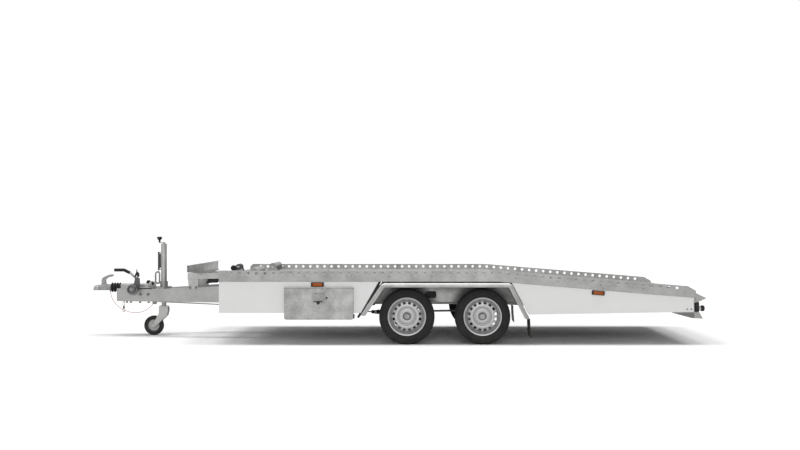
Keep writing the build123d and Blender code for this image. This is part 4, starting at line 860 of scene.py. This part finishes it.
# Overrun coupling and hand brake
LEVER_PIVOT = (-2.578, 0.478)
RATCHET_TEETH, RATCHET_RADII = 26, (0.05, 0.056)
SPRING_TURNS, SPRING_POINTS = 4, 10
SPRING_RADIUS, SPRING_LENGTH = 0.04, 0.022
LEVER_CHANNEL = [(-2.566, 0.47), (-2.512, 0.47), (-2.503, 0.535), (-2.505, 0.594), (-2.552, 0.594),
                 (-2.556, 0.535)]
PAWL_RING = [(-2.554, 0.602), (-2.549, 0.632), (-2.536, 0.655), (-2.524, 0.658), (-2.51, 0.64),
             (-2.507, 0.618), (-2.513, 0.603), (-2.522, 0.604), (-2.524, 0.632), (-2.537, 0.633),
             (-2.543, 0.603)]
COUPLING_LEVER = [
    (-2.939, 0.5258), (-2.938, 0.552), (-2.94, 0.566), (-2.934, 0.582), (-2.922, 0.594), (-2.905, 0.602),
    (-2.88, 0.614), (-2.853, 0.6235), (-2.832, 0.625), (-2.821, 0.6205), (-2.818, 0.612), (-2.824, 0.604),
    (-2.846, 0.601), (-2.872, 0.591), (-2.891, 0.581), (-2.904, 0.569), (-2.9, 0.55), (-2.89, 0.5258)]


def hand_brake_fittings():
    """Toothed quadrant, coil spring, channel and pawl at the foot of the lever."""
    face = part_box("brake_lever")[0].y
    x, z = LEVER_PIVOT
    channel, teeth, spring, pawl = shapes(4)
    plate(channel, LEVER_CHANNEL, face - 0.004, face + 0.026, 0.003)
    rim = [(x + radius * math.cos(turn), z + radius * math.sin(turn))
           for turn, radius in zip(turns(2 * RATCHET_TEETH), RATCHET_RADII * RATCHET_TEETH)]
    plate(teeth, rim, face - 0.0095, face - 0.0045, 0.0006)
    turned_rod(teeth, (x, face - 0.009, z), (0, -1, 0),
               [(0, 0.018), (0.014, 0.018), (0.016, 0.014), (0.026, 0.013), (0.0265, 0.006)])
    count = SPRING_TURNS * SPRING_POINTS
    coil = [(a, face - 0.014 - SPRING_LENGTH * k / count, b)
            for k, (a, b) in enumerate(arc((x, z), SPRING_RADIUS, SPRING_RADIUS, 2 * SPRING_TURNS, count))]
    coil.append((x + 0.058, coil[-1][1], z + 0.044))
    wire(spring, coil, 0.0046)
    plate(pawl, PAWL_RING, face - 0.002, face + 0.022, 0.002)
    piece("lever_channel", channel, "cast_steel", DARK_STEEL)
    piece("brake_quadrant", teeth, "cast_steel")
    piece("brake_spring", spring, "cast_steel", DARK_STEEL)
    piece("brake_pawl", pawl, "black_plastic")


def overrun_fittings():
    """Bent handle in the place of its solid; the housing's cap, half-round lug with a bolt, and seam."""
    low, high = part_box("overrun_housing")
    handle, cap, lug, seam = shapes(4)
    plate(handle, COUPLING_LEVER, -0.0158, 0.0158, 0.004)
    turned_rod(cap, (-2.459, 0, high.z), (0, 0, 1),
               [(0, 0.021), (0.005, 0.024), (0.011, 0.024), (0.013, 0.02), (0.027, 0.019), (0.032, 0.015),
                (0.033, 0.006)])
    arch = arc((-2.405, 0.52), 0.04, 0.04, 1, 16)
    plate(lug, [(-2.365, 0.4935)] + arch + [(-2.445, 0.4935)], -0.075, -0.066, 0.0015)
    rounded_box(seam, (-2.53, low.y - 0.0012, 0.4838), (-2.38, low.y + 0.002, 0.4928), 0.0005)
    piece("coupling_lever", handle, SLOTS["coupling_handle"], replaced=("coupling_handle",))
    piece("housing_gasket", seam, "black_rubber")
    piece("housing_cap", cap, "black_plastic")
    piece("housing_lug", lug, "galvanised")
    bolts("lug_bolt", [((-2.398, -0.075, 0.532), (0, -1, 0), (1, 0, 0))], LUG_BOLT, "black_plastic",
          FINISHES["black_plastic"])


def nose_fittings():
    """Dark stay beside the nose tube, and the thick bent lever of its clamp."""
    stay, lever = shapes(2)
    turned_rod(stay, (-2.354, 0, 0.664), (0, 0, 1),
               [(0, 0.006), (0.002, 0.0095), (0.19, 0.0095), (0.192, 0.006)], 20)
    plate(stay, [(-2.349, 0.69), (-2.328, 0.69), (-2.328, 0.836), (-2.349, 0.836)], -0.004, 0.004, 0.001)
    loop = [(-2.345, 0, 0.533), (-2.345, 0, 0.59), (-2.345, 0, 0.647), (-2.366, 0, 0.652), (-2.387, 0, 0.64),
            (-2.389, 0, 0.59), (-2.387, 0, 0.54), (-2.366, 0, 0.528)]
    wire(lever, loop, 0.0075, closed=True)
    piece("nose_stay", stay, "cast_steel", DARK_STEEL)
    piece("clamp_lever", lever, "cast_steel")


def cable_guide():
    """Wire hanger below the housing with a clip and a ring that the breakaway cable runs through."""
    x, y = -2.711, -0.0085
    hanger, clip = shapes(2)
    wire(hanger, [(x, y, 0.4505), (x, y, 0.42), (x, y, 0.38), (x, y, 0.345)], 0.003)
    # Rings. Columns: middle height, half height, half width
    for middle, tall, wide in ((0.32, 0.027, 0.011), (0.2555, 0.019, 0.013)):
        ring = [(x + across * 0.8, y + across * 0.6, z) for across, z in arc((0, middle), wide, tall, 2, 12)]
        wire(hanger, ring[:-1], 0.0028, closed=True)
    rounded_box(clip, (x - 0.008, y - 0.006, 0.274), (x + 0.008, y + 0.006, 0.296), 0.003, 3)
    piece("cable_hanger", hanger, "cast_steel")
    piece("cable_clip", clip, "black_plastic")


hand_brake_fittings()
overrun_fittings()
nose_fittings()
cable_guide()


# Front frame
def front_board_plate():
    """Folded board on the front frame: left end cut up from below, lips at top and foot, a joint strap."""
    low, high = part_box("front_board")
    sheet, seat, cut = 0.004, 0.33, 0.029
    web, half = bmesh.new(), high.y
    outline = [(-half, low.z + cut), (-seat, low.z), (half, low.z), (half, high.z), (-half, high.z)]
    plate(web, outline, low.x, low.x + sheet, 0.0012)
    for v in web.verts:
        v.co = Vector((v.co.y, v.co.x, v.co.z))
    rounded_box(web, (low.x, -half, high.z - sheet), (high.x, half, high.z), 0.0012)
    rounded_box(web, (low.x, -seat, low.z), (high.x, half, low.z + sheet), 0.0012)
    rounded_box(web, (low.x + 0.002, 0.4, low.z - 0.015), (low.x + 0.008, half - 0.005, low.z + 0.002),
                0.0012)
    rounded_box(web, (low.x - 0.0018, 0.19, low.z + 0.002), (low.x + 0.001, 0.225, high.z - 0.002), 0.0006)
    # Lighter zinc copy: painted light on the board's front face.
    piece("front_board_plate", web, "galvanised", LIT_ZINC, replaced=("front_board",))


def front_latches():
    """Toggle latches under the beams of the front frame, a catch under the board, bolts on its legs."""
    foot = 0.59
    latch = bmesh.new()
    for side in (-1, 1):
        y = side * 0.27
        rounded_box(latch, (-1.8, y - 0.02, foot - 0.04), (-1.7, y + 0.02, foot), 0.005, 3)
        grip = [(-1.818, foot - 0.04), (-1.8, foot - 0.046), (-1.69, foot - 0.033), (-1.684, foot - 0.02),
                (-1.7, foot - 0.012), (-1.8, foot - 0.018)]
        plate(latch, grip, y - 0.027, y - 0.019, 0.002)
    rounded_box(latch, (-1.892, 0.465, 0.618), (-1.866, 0.515, 0.647), 0.004, 3)
    piece("front_latches", latch, "black_plastic")
    rows = [((x, side * 0.295, 0.502), (0, side, 0), (1, 0, 0)) for side in (-1, 1) for x in (-1.975, -1.912)]
    bolts("leg_bolts", rows, LEG_BOLT, "cast_steel", DARK_BOLT)


# Winch: profiles of distance and radius
STRAP_RIDGES = 12
WINCH_FLANGE = [(0, 0.0305), (0.0005, 0.031), (0.003, 0.031), (0.0035, 0.0295), (0.002, 0.026),
                (0.002, 0.018), (0.0045, 0.016), (0.0048, 0.005)]
WINCH_GRIP = [(0, 0.013), (0.002, 0.022), (0.012, 0.027), (0.03, 0.0278), (0.056, 0.0265),
              (0.074, 0.0278), (0.0805, 0.025), (0.0815, 0.01)]
WINCH_COVER = [(0, 0.03), (0.0015, 0.031), (0.005, 0.031), (0.0065, 0.0285), (0.0065, 0.023),
               (0.005, 0.0215), (0.005, 0.012), (0.0078, 0.0105), (0.0082, 0.004)]


def winch():
    """Strap roll between zinc flanges, with a crank arm, a black grip and a dark cover."""
    x, z, half = -1.52, 0.7026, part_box("winch_drum")[1].y
    strap, metal, grip, cover = shapes(4)
    ridges = [(0.005, 0.012)]
    width = (2 * half - 0.012) / STRAP_RIDGES
    for k in range(STRAP_RIDGES):
        start = 0.006 + k * width
        ridges += [(start + 0.0005, 0.0235), (start + width * 0.3, 0.0255), (start + width * 0.8, 0.0255)]
    turned_rod(strap, (x, -half, z), (0, 1, 0), ridges + [(2 * half - 0.005, 0.012)])
    for y, way in ((-half + 0.005, -1), (half - 0.005, 1)):
        turned_rod(metal, (x, y, z), (0, way, 0), WINCH_FLANGE)
    knob_x, knob_z = -1.562, 0.6936
    arm = Vector((knob_x - x, 0, knob_z - z))
    lean = Matrix.Rotation(math.atan2(arm.z, -arm.x), 3, "Y")
    middle = Vector((x, 0, z)) + arm / 2
    rounded_box(metal, (middle.x - arm.length / 2 - 0.01, -half - 0.0185, middle.z - 0.011),
                (middle.x + arm.length / 2 + 0.01, -half - 0.0125, middle.z + 0.011), 0.0025, 3, lean)
    turned_rod(grip, (knob_x, -half - 0.018, knob_z), (0, -1, 0), WINCH_GRIP)
    turned_rod(cover, (x, -0.0652, z), (0, -1, 0), WINCH_COVER)
    piece("winch_strap", strap, "webbing", replaced=("winch_drum",))
    piece("winch_flanges", metal, "galvanised")
    piece("winch_cover", cover, "cast_steel", DARK_STEEL)
    piece("winch_grip", grip, "black_plastic")


def stop_caps():
    """Dished caps in the ends of the wheel stops' tubes."""
    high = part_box("wheel_stops")[1]
    caps = bmesh.new()
    inner = 0.4197
    for side in (-1, 1):
        for y, way in ((side * (high.y - 0.006), side), (side * (inner + 0.006), -side)):
            turned_rod(caps, (-1.235, y, 0.697), (0, way, 0),
                       [(0, 0.0262), (0.004, 0.0262), (0.0055, 0.0248), (0.005, 0.02), (0.0035, 0.006)])
    piece("stop_caps", caps, "galvanised")


front_board_plate()
front_latches()
winch()
stop_caps()


# Sides and running gear
def toolbox_fittings():
    """Lock barrel and dark finger grip on the door, a rain lip over it and a rubber cap beside its hinge."""
    face = -1.0446
    lock, cap, grip, lip = shapes(4)
    rounded_box(grip, (-0.668, -1.0466, 0.404), (-0.586, -1.044, 0.4125), 0.0008)
    plate(grip, arc((-0.625, 0.404), 0.017, -0.024, 1, 8), -1.0466, -1.044, 0.0006)
    rounded_box(lip, (-0.944, -1.0494, 0.5328), (-0.296, -1.04, 0.5405), 0.002)
    turned_rod(lock, (-0.545, face, 0.443), (0, -1, 0),
               [(0, 0.0095), (0.002, 0.0095), (0.0034, 0.0075), (0.004, 0.003)])
    rounded_box(cap, (-0.2952, -1.047, 0.25), (-0.283, -1.03, 0.291), 0.003, 3)
    piece("door_lock", lock, "black_plastic", body="toolbox_door")
    piece("latch_grip", grip, "black_rubber", body="toolbox_door")
    # Lighter zinc copy: a painted highlight along the rain lip.
    piece("box_rain_lip", lip, "galvanised", LIT_ZINC)
    piece("box_corner_cap", cap, "black_rubber")


# Black strips in the slanted gaps between panels and mudguards, painted shade for the shadow in those gaps:
# outlines of the front and the rear strip
GUARD_GAP_SHADE = ([(-0.036, 0.5935), (-0.062, 0.5935), (-0.262, 0.262), (-0.243, 0.25)],
                [(1.203, 0.5935), (1.228, 0.5935), (1.372, 0.33), (1.356, 0.322)])


def guard_fittings():
    """Cable boxes and buffers behind the mudguards' inner walls, black strips of painted shade in the slanted
    gaps.
    """
    boxes, gap_shades = shapes(2)
    for side in (-1, 1):
        near, far = side * 0.7875, side * 0.77
        rounded_box(boxes, (0.366, near, 0.43), (0.504, far, 0.506), 0.006, 3)
        rounded_box(boxes, (-0.14, near, 0.356), (-0.1, far, 0.392), 0.008, 3)
        for outline in GUARD_GAP_SHADE:
            # Painted shade: black strips fill the slanted gaps, dark as the shadow in them.
            plate(gap_shades, outline, side * 1.0185, side * 1.0125, 0.0015)
    piece("guard_boxes", boxes, "black_plastic")
    piece("guard_gap_shade", gap_shades, "black_rubber")


def brake_boots():
    """Ribbed rubber boots on the brake rod and on both pull rods at the equaliser."""
    boots = bmesh.new()
    ribbed = [(0, 0.009), (0.003, 0.017), (0.009, 0.019), (0.012, 0.015), (0.015, 0.019), (0.021, 0.019),
              (0.024, 0.015), (0.027, 0.019), (0.033, 0.018), (0.037, 0.009)]
    turned_rod(boots, (-0.13, 0.07, 0.2325), (-1, 0, 0.047), ribbed)
    for y in (0.0, 0.14):
        turned_rod(boots, (-0.1125, y, 0.232), (1, 0, 0.017), ribbed)
    piece("brake_boots", boots, "black_rubber")


# Rear end: outlines of the cheek beside the lip and of the dark sheet of painted shade on the light bar's
# gusset
REAR_CHEEK = [(2.9062, 0.398), (2.93, 0.398), (2.93, 0.44), (2.9062, 0.442)]
GUSSET_SHADE = [(2.7, 0.302), (2.915, 0.302), (2.915, 0.2505), (2.895, 0.2505)]


def rear_fittings():
    """Cheeks at the lip's ends, dark sheets of painted shade on the light bar's gussets, two rivets at the
    end of each panel.
    """
    cheeks, shade_sheets = shapes(2)
    for side in (-1, 1):
        plate(cheeks, REAR_CHEEK, side * 1.0225, side * 1.0165)
        # Painted shade: a dark zinc sheet over the gusset's front part, where the skirt shades it.
        plate(shade_sheets, GUSSET_SHADE, side * 1.0115, side * 1.009)
    piece("rear_cheeks", cheeks, "galvanised")
    piece("gusset_shade_sheets", shade_sheets, "galvanised", SHADE_ZINC)
    face = abs(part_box("skirts_left")[0].y)
    rows = [((x, side * face, 0.335), (0, side, 0), (1, 0, 0)) for side in (-1, 1) for x in (2.845, 2.883)]
    bolts("skirt_rivets", rows, RIVET, "galvanised", DARK_BOLT)


toolbox_fittings()
guard_fittings()
brake_boots()
rear_fittings()


# Stage, light and camera
FLOOR_HALF = 60.0
FLOOR_LIT, FLOOR_SEEN = grey(0.86), grey(0.97)


def background_rays(tree):
    """1 for rays that see the background: camera, glossy and transmission rays."""
    path = add(tree, "ShaderNodeLightPath").outputs
    seen = maths(tree, "MAXIMUM", path["Is Camera Ray"], path["Is Glossy Ray"])
    return maths(tree, "MAXIMUM", seen, path["Is Transmission Ray"])


def studio():
    """White surroundings, a pale floor that is clear from below, and the even light."""
    world = bpy.data.worlds.new("studio")
    bpy.context.scene.world = world
    world.use_nodes = True
    tree = world.node_tree
    tree.nodes.clear()
    soft, white = [add(tree, "ShaderNodeBackground", {"Color": grey(1), "Strength": strength})
                   for strength in (SURROUND_STRENGTH, 1.0)]
    both = add(tree, "ShaderNodeMixShader", {0: background_rays(tree), 1: soft.outputs[0],
                                             2: white.outputs[0]})
    add(tree, "ShaderNodeOutputWorld", {"Surface": both.outputs[0]})

    half = FLOOR_HALF
    floor_mesh = bpy.data.meshes.new("floor")
    floor_mesh.from_pydata([(-half, -half, 0), (half, -half, 0), (half, half, 0), (-half, half, 0)], [],
                           [(0, 1, 2, 3)])
    floor = new_object("floor", floor_mesh)
    ground, tree, surface = finish_shell("pale_floor")
    feed(tree, surface, {"Base Color": mixed(tree, background_rays(tree), FLOOR_LIT, FLOOR_SEEN),
                         "Roughness": 0.9, "Specular IOR Level": 0.0})
    below = add(tree, "ShaderNodeNewGeometry").outputs["Backfacing"]
    clear = add(tree, "ShaderNodeBsdfTransparent").outputs[0]
    both = add(tree, "ShaderNodeMixShader", {0: below, 1: surface.outputs[0], 2: clear})
    feed(tree, tree.nodes["Material Output"], {"Surface": both.outputs[0]})
    floor_mesh.materials.append(ground)

    for name, tilt, turn, spread, strength in SKY_LAMPS:
        lamp = bpy.data.lights.new(name, "SUN")
        lamp.energy = strength
        lamp.angle = math.radians(spread)
        new_object(name, lamp).rotation_euler = (math.radians(tilt), 0, math.radians(turn))
    bpy.context.scene.view_settings.view_transform = "Standard"


def photo_camera():
    """Level camera that looks square at the left side."""
    view = bpy.data.cameras.new("photo_view")
    view.sensor_width = SENSOR_WIDTH
    view.lens = SENSOR_WIDTH * PHOTO_FOCAL / PHOTO_WIDTH
    view.shift_x = -PHOTO_CENTRE_OFFSET[0] / PHOTO_WIDTH
    view.shift_y = PHOTO_CENTRE_OFFSET[1] / PHOTO_WIDTH
    view.clip_end = 300.0
    made = new_object("photo_view", view)
    made.location = CAMERA_PLACE
    made.rotation_euler = (math.radians(90), 0, 0)
    bpy.context.scene.camera = made


studio()
photo_camera()
